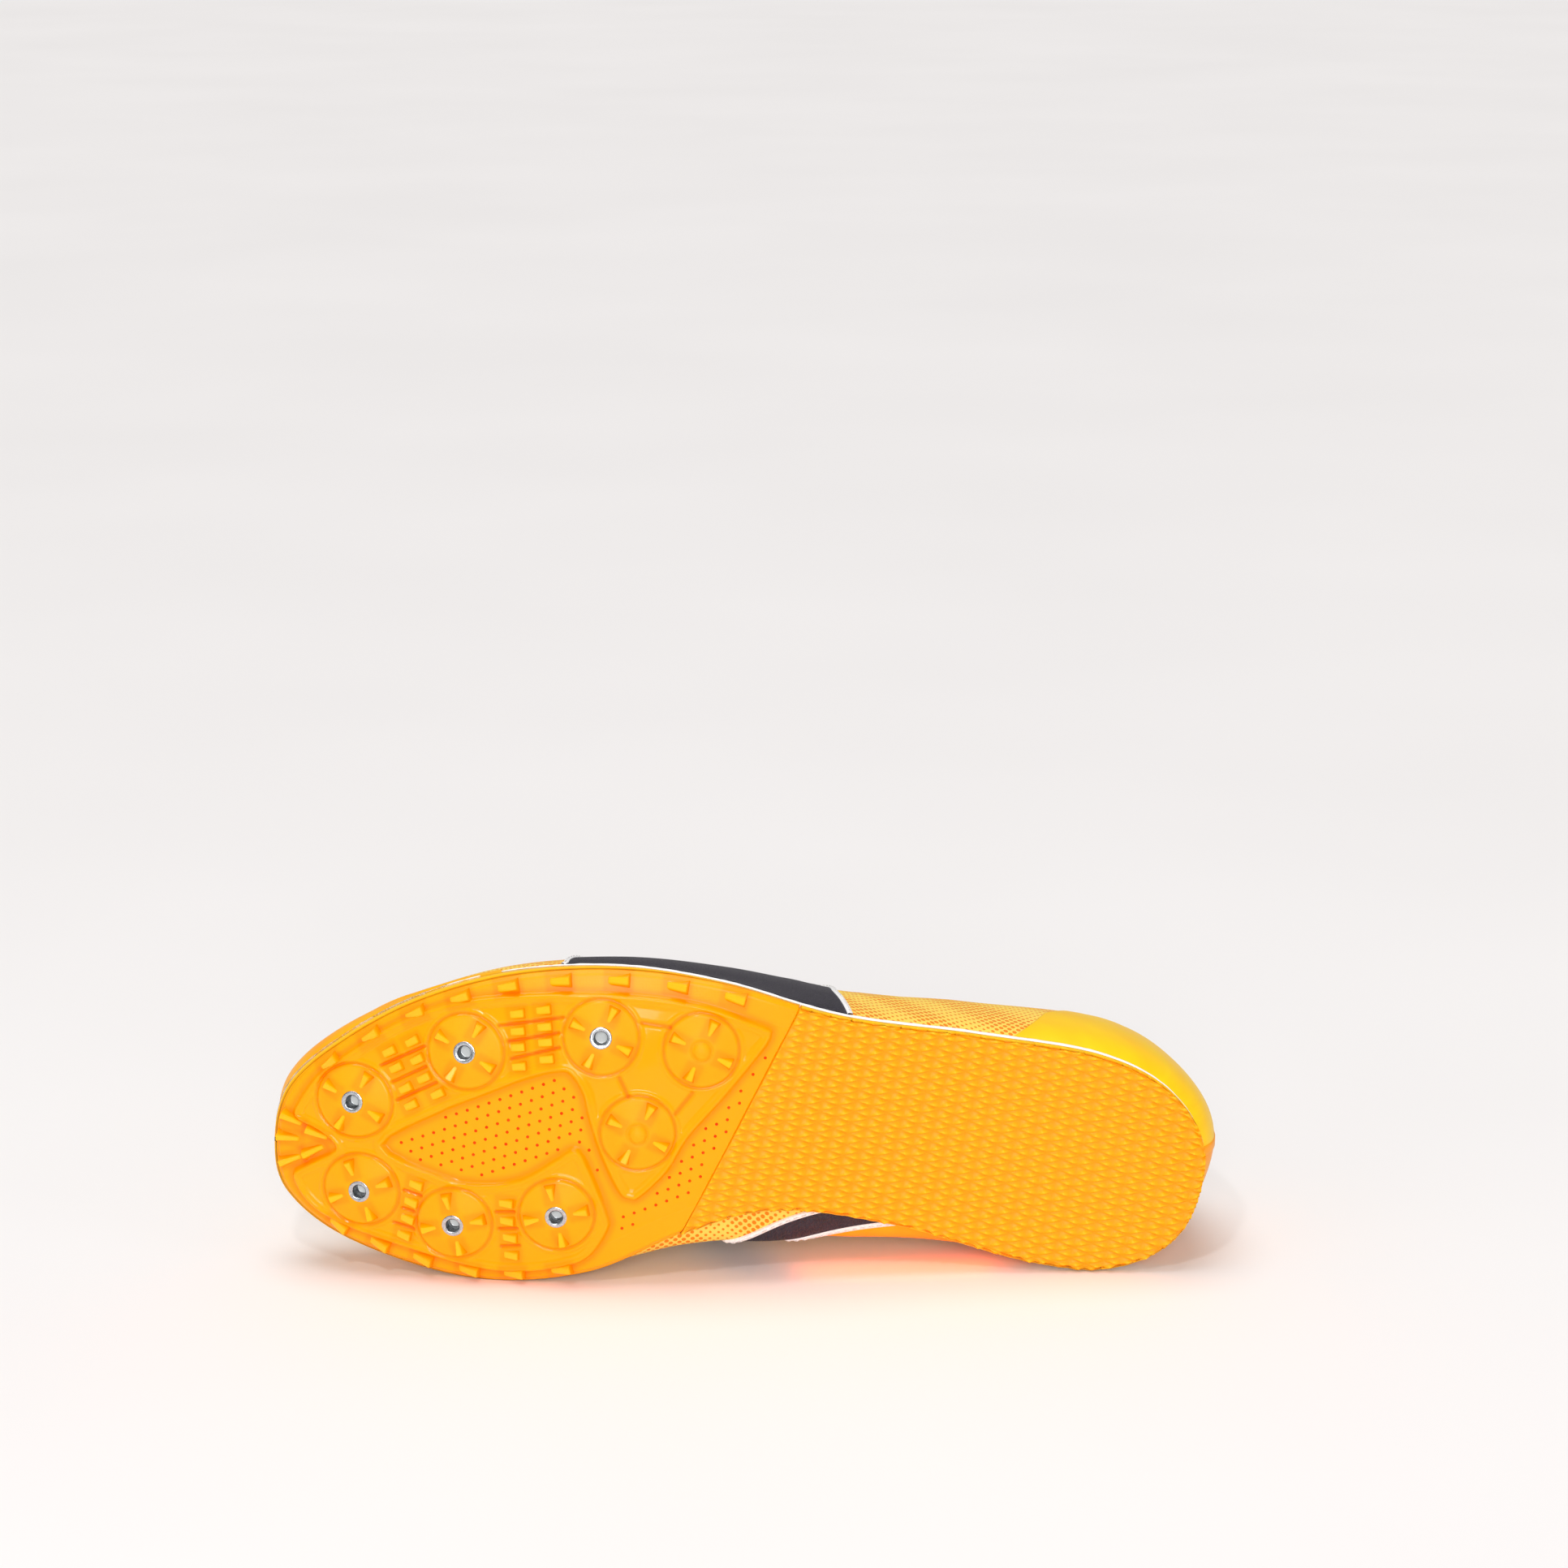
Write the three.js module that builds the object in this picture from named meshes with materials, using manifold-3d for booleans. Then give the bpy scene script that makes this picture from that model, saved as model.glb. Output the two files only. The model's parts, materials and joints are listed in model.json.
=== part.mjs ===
// A left track spike shoe, lying empty on its medial side as it rests on a floor.
// It is modelled in the shoe's own frame: X from heel to toe, Y to the lateral side, Z up, in millimetres.
// The last group turns and lowers it onto the floor, toe towards -X and sole towards -Y.
import * as THREE from 'three';
import { mergeVertices } from 'three/addons/utils/BufferGeometryUtils.js';
import Module from 'manifold-3d';

const wasm = await Module();
wasm.setup();

// Overall sizes
const LENGTH = 285; // outsole, back of the heel to the toe
const BALL_WIDTH = 100; // outsole across the ball of the foot
const INSTEP_HEIGHT = 74; // ground to the top of the throat
const HEEL_HEIGHT = 68; // ground to the collar behind the heel
const TOE_SPRING = 28.8; // ground to the underside of the toe tip
const CAMBER_RADIUS = 222; // crosswise curve of the forefoot

// Walls, layers and small parts
const UPPER_WALL = 1.6;
const PLATE_THICKNESS = 2.6;
const TREAD_THICKNESS = 2.6;
const MIDSOLE_THICKNESS = 3.2;
const INSOLE_THICKNESS = 3;
const TONGUE_THICKNESS = 3;
const TONGUE_CROWN_RADIUS = 40;
const LACE_WIDTH = 6;
const LACE_THICKNESS = 1;
const EYELET_INSET = 6.5; // eyelet centre to the throat's edge
const LOBE_RAISE = 1.4; // lobe above the plate's field
const PAD_RADIUS = 11.3;
const PAD_HEIGHT = 2.8; // at its middle
const PAD_EDGE_HEIGHT = 0.9;
const DOME_RADIUS = 2.5;
const DOME_RISE = 1.5;
const SOCKET_RADIUS = 3.4;
const SOCKET_LENGTH = 5.2;
const SOCKET_CHAMFER = 0.5;
const SOCKET_PROUD = 0.2; // socket above its pad
const SOCKET_COLLAR = 1.2; // flat of the pad around its socket
const SPIKE_BORE_RADIUS = 2.05;
const SPIKE_BORE_DEPTH = 4.4;
const LUG = { length: 6.2, width: 3.2, height: 2.4, top: 0.62 };
const CLEAT = { length: 5.4, width: 2.8, height: 1.6, top: 0.45 };
const CLEAT_LEVEL = 1.5; // foot of a cleat above the pad's edge

// Clearances and margins
const GAP = 0.3; // between neighbouring pieces
const FEATHER_INSET = 0.2; // foot of the upper inside the midsole's edge
const MIDSOLE_PROUD = 0.3; // midsole outside the outsole's edge
const INSOLE_INSET = 4;
const LACE_LIFT = 1.5; // middle of the lace above the upper
const ROOT = 1.5; // how deep raised shapes start inside the plate
const CUT_REACH = 5; // how far a cut runs on into the open

// Levels above the sole's lower reference surface
const FIELD_LEVEL = 0.6;
const MIDSOLE_LEVEL = FIELD_LEVEL + PLATE_THICKNESS + GAP;
const FEATHER_LEVEL = MIDSOLE_LEVEL + MIDSOLE_THICKNESS + GAP;
const SOCKET_TOP = PAD_HEIGHT + SOCKET_PROUD; // below it, measured along the socket's axis

// Sections around the shoe from the back of the heel, up the lateral side to the toe and back.
// along, across: the sole's edge; out, up: the upper's widest line beyond and above that edge;
// topAlong, topAcross, topUp: the edge of collar and throat; lean: how far the wall turns over, in degrees.
// Lengths are shares of LENGTH, widths of BALL_WIDTH, up of HEEL_HEIGHT and topUp of the topline's height.
const SECTION_COLUMNS = ['along', 'across', 'out', 'up', 'topAlong', 'topAcross', 'topUp', 'lean'];
const SECTIONS = named(SECTION_COLUMNS, [
  [0.000, -0.010, 0.066, 0.38, 0.021, -0.020, 1.000, 85], // back of the heel
  [0.035, 0.181, 0.050, 0.38, 0.049, 0.140, 0.946, 85],
  [0.112, 0.301, 0.040, 0.38, 0.119, 0.250, 0.788, 85],
  [0.246, 0.369, 0.025, 0.40, 0.232, 0.310, 0.700, 85], // below the outer ankle
  [0.386, 0.434, 0.010, 0.35, 0.337, 0.260, 0.863, 82],
  [0.514, 0.546, -0.010, 0.24, 0.414, 0.180, 0.973, 78],
  [0.632, 0.589, -0.004, 0.14, 0.491, 0.160, 0.919, 75], // outer ball
  [0.746, 0.564, 0.000, 0.13, 0.561, 0.162, 0.831, 72],
  [0.849, 0.468, 0.000, 0.14, 0.618, 0.160, 0.764, 70],
  [0.932, 0.322, 0.010, 0.17, 0.653, 0.140, 0.723, 68],
  [0.984, 0.175, 0.004, 0.19, 0.672, 0.110, 0.707, 66],
  [1.000, 0.005, -0.010, 0.20, 0.679, 0.070, 0.703, 66], // toe tip
  [0.987, -0.160, -0.008, 0.19, 0.672, 0.030, 0.707, 66],
  [0.919, -0.300, -0.004, 0.20, 0.653, -0.010, 0.723, 68],
  [0.789, -0.397, -0.003, 0.22, 0.604, -0.046, 0.784, 72], // inner ball
  [0.667, -0.361, 0.015, 0.21, 0.533, -0.080, 0.878, 76],
  [0.561, -0.223, 0.078, 0.18, 0.463, -0.115, 0.966, 80],
  [0.463, -0.160, 0.133, 0.19, 0.393, -0.165, 1.000, 82], // arch
  [0.333, -0.227, 0.085, 0.25, 0.316, -0.240, 0.853, 84],
  [0.193, -0.350, 0.012, 0.38, 0.218, -0.300, 0.715, 85], // below the inner ankle
  [0.095, -0.375, 0.004, 0.38, 0.112, -0.260, 0.789, 85],
  [0.023, -0.260, 0.016, 0.38, 0.046, -0.160, 0.946, 85],
]);
const TOE_ROW = 11;
const HEEL_ROW = SECTIONS.length;

// Height of the sole's lower reference surface along the foot, in shares of LENGTH and TOE_SPRING
const SOLE_PROFILE = named(['at', 'up'], [
  [-0.053, -0.027],
  [0.053, 0.041],
  [0.158, 0.122],
  [0.263, 0.160], // arch
  [0.368, 0.115],
  [0.474, 0.011],
  [0.579, -0.026], // tread point
  [0.684, 0.068],
  [0.789, 0.281],
  [0.895, 0.595],
  [1.000, 1.000],
  [1.105, 1.440],
]);
const CAMBER_START = 0.42; // share of LENGTH where the crosswise curve begins
const CAMBER_FULL = 0.63;

// Where the spike plate meets the tread, on each edge, in shares of LENGTH
const JOIN = { lateral: 0.439, medial: 0.568 };

// Round pads of the spike plate: six carry a socket, two a moulded dome
const PADS = named(['along', 'across', 'turn', 'socket'], [
  [0.913, 0.160, 61, true],
  [0.907, -0.121, 21, true],
  [0.794, 0.334, 60, true],
  [0.651, 0.391, 64, true],
  [0.808, -0.208, 13, true],
  [0.699, -0.164, 12, true],
  [0.545, 0.354, 65, false],
  [0.613, 0.100, 63, false],
]);
const PAD_CLEATS = 4;
const CLEAT_REACH = 0.64; // share of the pad's radius

// Lugs along the edge of the plate, at shares of LENGTH, and the claws in the toe notch
const EDGE_LUGS = {
  lateral: [0.507, 0.569, 0.632, 0.695, 0.752, 0.804, 0.853, 0.902, 0.947],
  medial: [0.693, 0.745, 0.795, 0.846, 0.893, 0.938],
};
const LUG_INSET = 3.4;
const TOE_CLAWS = named(['along', 'across', 'turn'], [
  [0.982, 0.080, -25],
  [0.986, 0.020, -5],
  [0.984, -0.050, 20],
  [0.955, 0.042, -22],
  [0.959, -0.014, 26],
]);

// Outline of the raised lobes, clockwise from the toe notch, in shares of LENGTH and BALL_WIDTH
const LOBE_OUTLINE = [
  [0.936, 0.017], [0.952, 0.053], [0.978, 0.090], [0.972, 0.147], [0.951, 0.232], [0.926, 0.290],
  [0.868, 0.406], [0.797, 0.486], [0.701, 0.518], [0.611, 0.515], [0.539, 0.486], [0.479, 0.424],
  [0.471, 0.400], [0.480, 0.352], [0.519, 0.215], [0.560, 0.083], [0.581, -0.018], [0.611, -0.104],
  [0.622, -0.110], [0.633, -0.088], [0.651, 0.022], [0.664, 0.134], [0.671, 0.218], [0.683, 0.274],
  [0.696, 0.285], [0.731, 0.259], [0.783, 0.195], [0.823, 0.142], [0.884, 0.026], [0.824, -0.059],
  [0.784, -0.079], [0.738, -0.057], [0.698, 0.015], [0.684, 0.042], [0.674, 0.036], [0.664, -0.022],
  [0.646, -0.158], [0.645, -0.211], [0.664, -0.299], [0.690, -0.337], [0.740, -0.362], [0.788, -0.354],
  [0.852, -0.310], [0.928, -0.246], [0.964, -0.186], [0.981, -0.104], [0.970, -0.066], [0.938, -0.011],
];

// Middle line of the tongue from under the vamp to its free top: shares of LENGTH, BALL_WIDTH and INSTEP_HEIGHT
const TONGUE = named(['along', 'across', 'up', 'half'], [
  [0.719, 0.070, 0.645, 0.110],
  [0.677, 0.065, 0.666, 0.130],
  [0.604, 0.057, 0.755, 0.150],
  [0.526, 0.040, 0.853, 0.170],
  [0.456, 0.024, 0.938, 0.175],
  [0.414, 0.012, 0.978, 0.165],
  [0.382, 0.005, 1.030, 0.160],
  [0.351, 0.000, 1.105, 0.170],
  [0.324, -0.005, 1.185, 0.170],
  [0.302, -0.005, 1.250, 0.140],
]);

// Rows of SECTIONS, and parts of a row, that pass through the eyelets, from the top of the throat forward
const EYELETS = {
  lateral: [5.15, 5.75, 6.35, 7.00, 7.70, 8.60],
  medial: [16.55, 15.90, 15.25, 14.60, 14.00, 13.35],
};

// Mesh steps
const STEPS_PER_ROW = 3;
const LOWER_STEPS = 3;
const UPPER_STEPS = 6;
const WIDEST_AT = 0.3; // share of the wall's climb where it is widest
const FOOT_KNEE = 0.25;
const SOLE_STEPS_PER_ROW = 3;
const ACROSS_STEPS = 5;
const TURN_STEPS = 14;
const LACE_STEPS = 4;

function named(columns, rows) {
  return rows.map((row) => Object.fromEntries(columns.map((name, i) => [name, row[i]])));
}

// Curves and surfaces

function hermite(a, b, slopeA, slopeB, t) {
  const t2 = t * t;
  const t3 = t2 * t;
  return (2 * t3 - 3 * t2 + 1) * a + (t3 - 2 * t2 + t) * slopeA + (3 * t2 - 2 * t3) * b + (t3 - t2) * slopeB;
}

// One column of a table whose rows go around in a ring, at a row number that may be fractional
function around(table, column, row) {
  const count = table.length;
  const i = Math.floor(row);
  const at = (k) => table[(((i + k) % count) + count) % count][column];
  return hermite(at(0), at(1), (at(1) - at(-1)) / 2, (at(2) - at(0)) / 2, row - i);
}

// One column of a table with two ends, at a row number that may be fractional
function along(table, column, row) {
  const last = table.length - 1;
  const i = Math.min(Math.max(Math.floor(row), 0), last - 1);
  const at = (k) => table[Math.min(Math.max(i + k, 0), last)][column];
  return hermite(at(0), at(1), (at(1) - at(-1)) / 2, (at(2) - at(0)) / 2, row - i);
}

function soleProfile(x) {
  const share = x / LENGTH;
  const first = SOLE_PROFILE[0].at;
  const step = (SOLE_PROFILE.at(-1).at - first) / (SOLE_PROFILE.length - 1);
  return TOE_SPRING * along(SOLE_PROFILE, 'up', (share - first) / step);
}

// The sole's lower reference surface
function soleLevel(x, y) {
  const camber = THREE.MathUtils.smoothstep(x / LENGTH, CAMBER_START, CAMBER_FULL) / CAMBER_RADIUS;
  return soleProfile(x) + (camber * y * y) / 2;
}

// Point of the sole's edge, moved in by inset
function soleEdge(row, inset = 0) {
  const place = (r) => new THREE.Vector2(
    LENGTH * around(SECTIONS, 'along', r),
    BALL_WIDTH * around(SECTIONS, 'across', r),
  );
  const outward = edgeNormal(place, row);
  return place(row).addScaledVector(outward, -inset);
}

function edgeNormal(place, row) {
  const step = 0.01;
  const forward = place(row + step).sub(place(row - step)).normalize();
  return new THREE.Vector2(-forward.y, forward.x);
}

// Row number where one side of the sole's edge passes a share of LENGTH
function edgeRowAt(side, share) {
  let near = side === 'lateral' ? 0 : HEEL_ROW;
  let far = TOE_ROW;
  for (let i = 0; i < 40; i += 1) {
    const middle = (near + far) / 2;
    if (around(SECTIONS, 'along', middle) < share) near = middle;
    else far = middle;
  }
  return near;
}

// Outer face of the upper: row around the shoe, climb from 0 at its foot to 1 at the topline
function upperPoint(row, climb) {
  const foot = soleEdge(row, FEATHER_INSET);
  const footUp = soleLevel(foot.x, foot.y) + FEATHER_LEVEL;
  const wide = soleEdge(row, -BALL_WIDTH * around(SECTIONS, 'out', row));
  const wideUp = soleLevel(foot.x, foot.y) + HEEL_HEIGHT * around(SECTIONS, 'up', row);
  if (climb < WIDEST_AT) {
    const t = climb / WIDEST_AT;
    const knee = new THREE.Vector3(wide.x, wide.y, footUp + FOOT_KNEE * (wideUp - footUp));
    const curve = new THREE.QuadraticBezierCurve3(
      new THREE.Vector3(foot.x, foot.y, footUp), knee, new THREE.Vector3(wide.x, wide.y, wideUp),
    );
    return curve.getPoint(t);
  }
  const top = toplinePoint(row);
  const lean = THREE.MathUtils.degToRad(around(SECTIONS, 'lean', row));
  const angle = (lean * (climb - WIDEST_AT)) / (1 - WIDEST_AT);
  const inward = (1 - Math.cos(angle)) / (1 - Math.cos(lean));
  const upward = Math.sin(angle) / Math.sin(lean);
  return new THREE.Vector3(
    wide.x + (top.x - wide.x) * inward,
    wide.y + (top.y - wide.y) * inward,
    wideUp + (top.z - wideUp) * upward,
  );
}

function toplinePoint(row) {
  const x = LENGTH * around(SECTIONS, 'topAlong', row);
  const y = BALL_WIDTH * around(SECTIONS, 'topAcross', row);
  const height = THREE.MathUtils.lerp(HEEL_HEIGHT, INSTEP_HEIGHT, Math.min(x / (0.4 * LENGTH), 1));
  return new THREE.Vector3(x, y, height * around(SECTIONS, 'topUp', row));
}

function upperNormal(row, climb) {
  const step = 0.01;
  const low = Math.max(climb - step, 0);
  const high = Math.min(climb + step, 1);
  const up = upperPoint(row, high).sub(upperPoint(row, low));
  const on = upperPoint(row + step, climb).sub(upperPoint(row - step, climb));
  return up.cross(on).normalize();
}

// Climb at a plan distance from the topline
function climbAt(row, distance) {
  const top = toplinePoint(row);
  let low = WIDEST_AT;
  let high = 1;
  for (let i = 0; i < 30; i += 1) {
    const middle = (low + high) / 2;
    const point = upperPoint(row, middle);
    if (Math.hypot(point.x - top.x, point.y - top.y) > distance) low = middle;
    else high = middle;
  }
  return low;
}

// Solids

function solid(geometry) {
  const plain = geometry.clone();
  plain.deleteAttribute('normal');
  plain.deleteAttribute('uv');
  const merged = mergeVertices(plain, 1e-4);
  const faces = [];
  const index = merged.index.array;
  for (let i = 0; i < index.length; i += 3) {
    const [a, b, c] = index.slice(i, i + 3);
    if (a !== b && b !== c && c !== a) faces.push(a, b, c);
  }
  return new wasm.Manifold(new wasm.Mesh({
    numProp: 3,
    vertProperties: new Float32Array(merged.attributes.position.array),
    triVerts: new Uint32Array(faces),
  }));
}

function geometryOf(form) {
  const mesh = form.getMesh();
  const geometry = new THREE.BufferGeometry();
  geometry.setAttribute('position', new THREE.BufferAttribute(new Float32Array(mesh.vertProperties), 3));
  geometry.setIndex(new THREE.BufferAttribute(new Uint32Array(mesh.triVerts), 1));
  geometry.computeVertexNormals();
  return geometry;
}

function fromFaces(points, faces) {
  const geometry = new THREE.BufferGeometry();
  geometry.setAttribute('position', new THREE.Float32BufferAttribute(points.flatMap((p) => [p.x, p.y, p.z]), 3));
  geometry.setIndex(faces);
  return geometry;
}

// Closed skin over rings of points; each ring is closed, and so is the row of rings unless capped
function ringSolid(rings, capped) {
  const size = rings[0].length;
  const faces = [];
  const spans = capped ? rings.length - 1 : rings.length;
  for (let i = 0; i < spans; i += 1) {
    const next = (i + 1) % rings.length;
    for (let k = 0; k < size; k += 1) {
      const other = (k + 1) % size;
      const a = i * size + k;
      const b = i * size + other;
      const c = next * size + other;
      const d = next * size + k;
      faces.push(a, b, c, a, c, d);
    }
  }
  if (capped) {
    const last = (rings.length - 1) * size;
    for (let k = 1; k < size - 1; k += 1) {
      faces.push(0, k + 1, k);
      faces.push(last, last + k, last + k + 1);
    }
  }
  return solid(fromFaces(rings.flat(), faces));
}

// Slab between two heights over a grid of plan points, grid[i][j] from lateral to medial
function slab(grid, low, high) {
  const rows = grid.length;
  const columns = grid[0].length;
  const lift = (height) => grid.flat().map((p) => new THREE.Vector3(p.x, p.y, height(p.x, p.y)));
  const points = [...lift(low), ...lift(high)];
  const top = rows * columns;
  const at = (i, j) => i * columns + j;
  const faces = [];
  const quad = (a, b, c, d) => faces.push(a, b, c, a, c, d);
  for (let i = 0; i < rows - 1; i += 1) {
    for (let j = 0; j < columns - 1; j += 1) {
      quad(at(i, j), at(i + 1, j), at(i + 1, j + 1), at(i, j + 1));
      quad(top + at(i, j), top + at(i, j + 1), top + at(i + 1, j + 1), top + at(i + 1, j));
    }
    const edge = columns - 1;
    quad(at(i, 0), top + at(i, 0), top + at(i + 1, 0), at(i + 1, 0));
    quad(at(i + 1, edge), top + at(i + 1, edge), top + at(i, edge), at(i, edge));
  }
  for (let j = 0; j < columns - 1; j += 1) {
    const end = rows - 1;
    quad(at(0, j + 1), top + at(0, j + 1), top + at(0, j), at(0, j));
    quad(at(end, j), top + at(end, j), top + at(end, j + 1), at(end, j + 1));
  }
  return solid(fromFaces(points, faces));
}

// Plan grid of the sole between two pairs of edge rows
function soleGrid(start, end, inset) {
  const steps = Math.ceil(Math.max(
    Math.abs(end.lateral - start.lateral), Math.abs(end.medial - start.medial),
  ) * SOLE_STEPS_PER_ROW);
  const grid = [];
  for (let i = 0; i <= steps; i += 1) {
    const lateral = soleEdge(THREE.MathUtils.lerp(start.lateral, end.lateral, i / steps), inset);
    const medial = soleEdge(THREE.MathUtils.lerp(start.medial, end.medial, i / steps), inset);
    const row = [];
    for (let j = 0; j <= ACROSS_STEPS; j += 1) row.push(lateral.clone().lerp(medial, j / ACROSS_STEPS));
    grid.push(row);
  }
  return grid;
}

const HEEL_END = { lateral: 0, medial: HEEL_ROW };
const TOE_END = { lateral: TOE_ROW, medial: TOE_ROW };

function joinRows(shift) {
  return {
    lateral: edgeRowAt('lateral', JOIN.lateral + shift / LENGTH),
    medial: edgeRowAt('medial', JOIN.medial + shift / LENGTH),
  };
}

function level(offset) {
  return (x, y) => soleLevel(x, y) + offset;
}

// Frame whose Z points straight out of the sole's underside, turned about it, heights from the reference surface
function underside(share, shareAcross, turn = 0) {
  const x = share * LENGTH;
  const y = shareAcross * BALL_WIDTH;
  const step = 0.5;
  const slopeX = (soleLevel(x + step, y) - soleLevel(x - step, y)) / (2 * step);
  const slopeY = (soleLevel(x, y + step) - soleLevel(x, y - step)) / (2 * step);
  const outward = new THREE.Vector3(slopeX, slopeY, -1).normalize();
  const forward = new THREE.Vector3(1, 0, slopeX);
  const side = outward.clone().cross(forward).normalize();
  forward.crossVectors(side, outward);
  const frame = new THREE.Matrix4().makeBasis(forward, side, outward);
  frame.setPosition(x, y, soleLevel(x, y));
  return frame.multiply(new THREE.Matrix4().makeRotationZ(turn));
}

// Round solid about Z from a profile of radius and height
function turned(profile) {
  const geometry = new THREE.LatheGeometry(profile.map(([r, h]) => new THREE.Vector2(r, h)), TURN_STEPS);
  geometry.rotateX(Math.PI / 2);
  return geometry;
}

// Block on Z = 0 that narrows towards its top
function block({ length, width, height, top }, root) {
  const geometry = new THREE.BoxGeometry(length, width, height + root);
  geometry.translate(0, 0, (height - root) / 2);
  const position = geometry.attributes.position;
  for (let i = 0; i < position.count; i += 1) {
    if (position.getZ(i) > 0) position.setXY(i, position.getX(i) * top, position.getY(i) * top);
  }
  return geometry;
}

// Pieces

function makeUpper() {
  const rings = [];
  const count = SECTIONS.length * STEPS_PER_ROW;
  for (let i = 0; i < count; i += 1) {
    const row = i / STEPS_PER_ROW;
    const climbs = [];
    for (let k = 0; k < LOWER_STEPS; k += 1) climbs.push((WIDEST_AT * k) / LOWER_STEPS);
    for (let k = 0; k <= UPPER_STEPS; k += 1) climbs.push(WIDEST_AT + ((1 - WIDEST_AT) * k) / UPPER_STEPS);
    const outer = climbs.map((climb) => upperPoint(row, climb));
    const inner = climbs.map((climb, k) => {
      const inward = upperNormal(row, climb);
      if (k === 0) inward.setZ(0).normalize();
      return outer[k].clone().addScaledVector(inward, -UPPER_WALL);
    });
    rings.push([...outer, ...inner.reverse()]);
  }
  return ringSolid(rings, false);
}

function makeTongue() {
  const rings = [];
  const steps = (TONGUE.length - 1) * 2;
  const place = (row) => new THREE.Vector3(
    LENGTH * along(TONGUE, 'along', row),
    BALL_WIDTH * along(TONGUE, 'across', row),
    INSTEP_HEIGHT * along(TONGUE, 'up', row),
  );
  for (let i = 0; i <= steps; i += 1) {
    const row = i / 2;
    const middle = place(row);
    const half = BALL_WIDTH * along(TONGUE, 'half', row);
    const forward = place(row + 0.1).sub(place(row - 0.1)).normalize();
    const side = new THREE.Vector3(0, 1, 0);
    const up = new THREE.Vector3().crossVectors(side, forward).normalize();
    const face = (drop) => {
      const points = [];
      for (let k = 0; k <= ACROSS_STEPS; k += 1) {
        const reach = half * ((2 * k) / ACROSS_STEPS - 1);
        const sag = (reach * reach) / (2 * TONGUE_CROWN_RADIUS);
        points.push(middle.clone().addScaledVector(side, reach).addScaledVector(up, -sag - drop));
      }
      return points;
    };
    rings.push([...face(0), ...face(TONGUE_THICKNESS).reverse()]);
  }
  return ringSolid(rings, true);
}

function makeLace() {
  const eyelet = (side, k) => EYELETS[side][k];
  const last = EYELETS.lateral.length - 1;
  const bars = [laceBar(eyelet('lateral', last), eyelet('medial', last))];
  for (let k = 0; k < last; k += 1) {
    bars.push(laceBar(eyelet('lateral', k), eyelet('medial', k + 1)));
    bars.push(laceBar(eyelet('lateral', k + 1), eyelet('medial', k)));
  }
  return joined(bars);
}

function laceBar(fromRow, toRow) {
  const eyelet = (row) => [row, climbAt(row, EYELET_INSET)];
  const stops = [eyelet(fromRow), [fromRow, 1], [toRow, 1], eyelet(toRow)];
  const normals = stops.map(([row, climb]) => upperNormal(row, climb));
  const route = stops.map(([row, climb], i) => upperPoint(row, climb).addScaledVector(normals[i], LACE_LIFT));
  const crown = route[1].clone().lerp(route[2], 0.5);
  crown.z += LACE_THICKNESS / 2;
  const curve = new THREE.CatmullRomCurve3([route[0], route[1], crown, route[2], route[3]]);
  const points = curve.getPoints(LACE_STEPS);
  const rings = points.map((point, i) => {
    const share = i / LACE_STEPS;
    const forward = points[Math.min(i + 1, LACE_STEPS)].clone().sub(points[Math.max(i - 1, 0)]).normalize();
    const near = normals[0].clone().lerp(normals[3], share);
    const side = new THREE.Vector3().crossVectors(forward, near).normalize();
    const up = new THREE.Vector3().crossVectors(side, forward);
    const corner = (across, high) => point.clone()
      .addScaledVector(side, (across * LACE_WIDTH) / 2)
      .addScaledVector(up, (high * LACE_THICKNESS) / 2);
    return [corner(-1, 1), corner(1, 1), corner(1, -1), corner(-1, -1)];
  });
  return ringSolid(rings, true);
}

function joined(forms) {
  return forms.slice(1).reduce((whole, form) => whole.add(form), forms[0]);
}

function makeLobes() {
  const outline = new THREE.Shape(LOBE_OUTLINE.map(([a, b]) => new THREE.Vector2(a * LENGTH, b * BALL_WIDTH)));
  const depth = 2 * TOE_SPRING + INSTEP_HEIGHT;
  const geometry = new THREE.ExtrudeGeometry(outline, { depth, bevelEnabled: false });
  geometry.translate(0, 0, -depth / 2);
  const start = joinRows(-LENGTH / 20);
  const layer = slab(soleGrid(start, TOE_END, 0), level(FIELD_LEVEL - LOBE_RAISE), level(FIELD_LEVEL + GAP));
  return solid(geometry).intersect(layer);
}

function padSolids({ along: share, across, turn, socket }) {
  const profile = [
    [0, -ROOT], [PAD_RADIUS, -ROOT], [PAD_RADIUS, PAD_EDGE_HEIGHT],
    [SOCKET_RADIUS + SOCKET_COLLAR, PAD_HEIGHT], [0, PAD_HEIGHT],
  ];
  const forms = [solid(turned(profile).applyMatrix4(underside(share, across)))];
  for (let k = 0; k < PAD_CLEATS; k += 1) {
    const angle = THREE.MathUtils.degToRad(turn) + (k * 2 * Math.PI) / PAD_CLEATS;
    const local = new THREE.Matrix4().makeTranslation(CLEAT_REACH * PAD_RADIUS, 0, CLEAT_LEVEL);
    const frame = underside(share, across, angle).multiply(local);
    forms.push(solid(block(CLEAT, ROOT).applyMatrix4(frame)));
  }
  if (!socket) {
    const dome = [[0, 0], [DOME_RADIUS, 0], [DOME_RADIUS, PAD_HEIGHT]];
    for (let k = 1; k <= 3; k += 1) {
      const angle = (k * Math.PI) / 6;
      dome.push([DOME_RADIUS * Math.cos(angle), PAD_HEIGHT + DOME_RISE * Math.sin(angle)]);
    }
    dome[dome.length - 1][0] = 0;
    forms.push(solid(turned(dome).applyMatrix4(underside(share, across))));
  }
  return forms;
}

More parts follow.
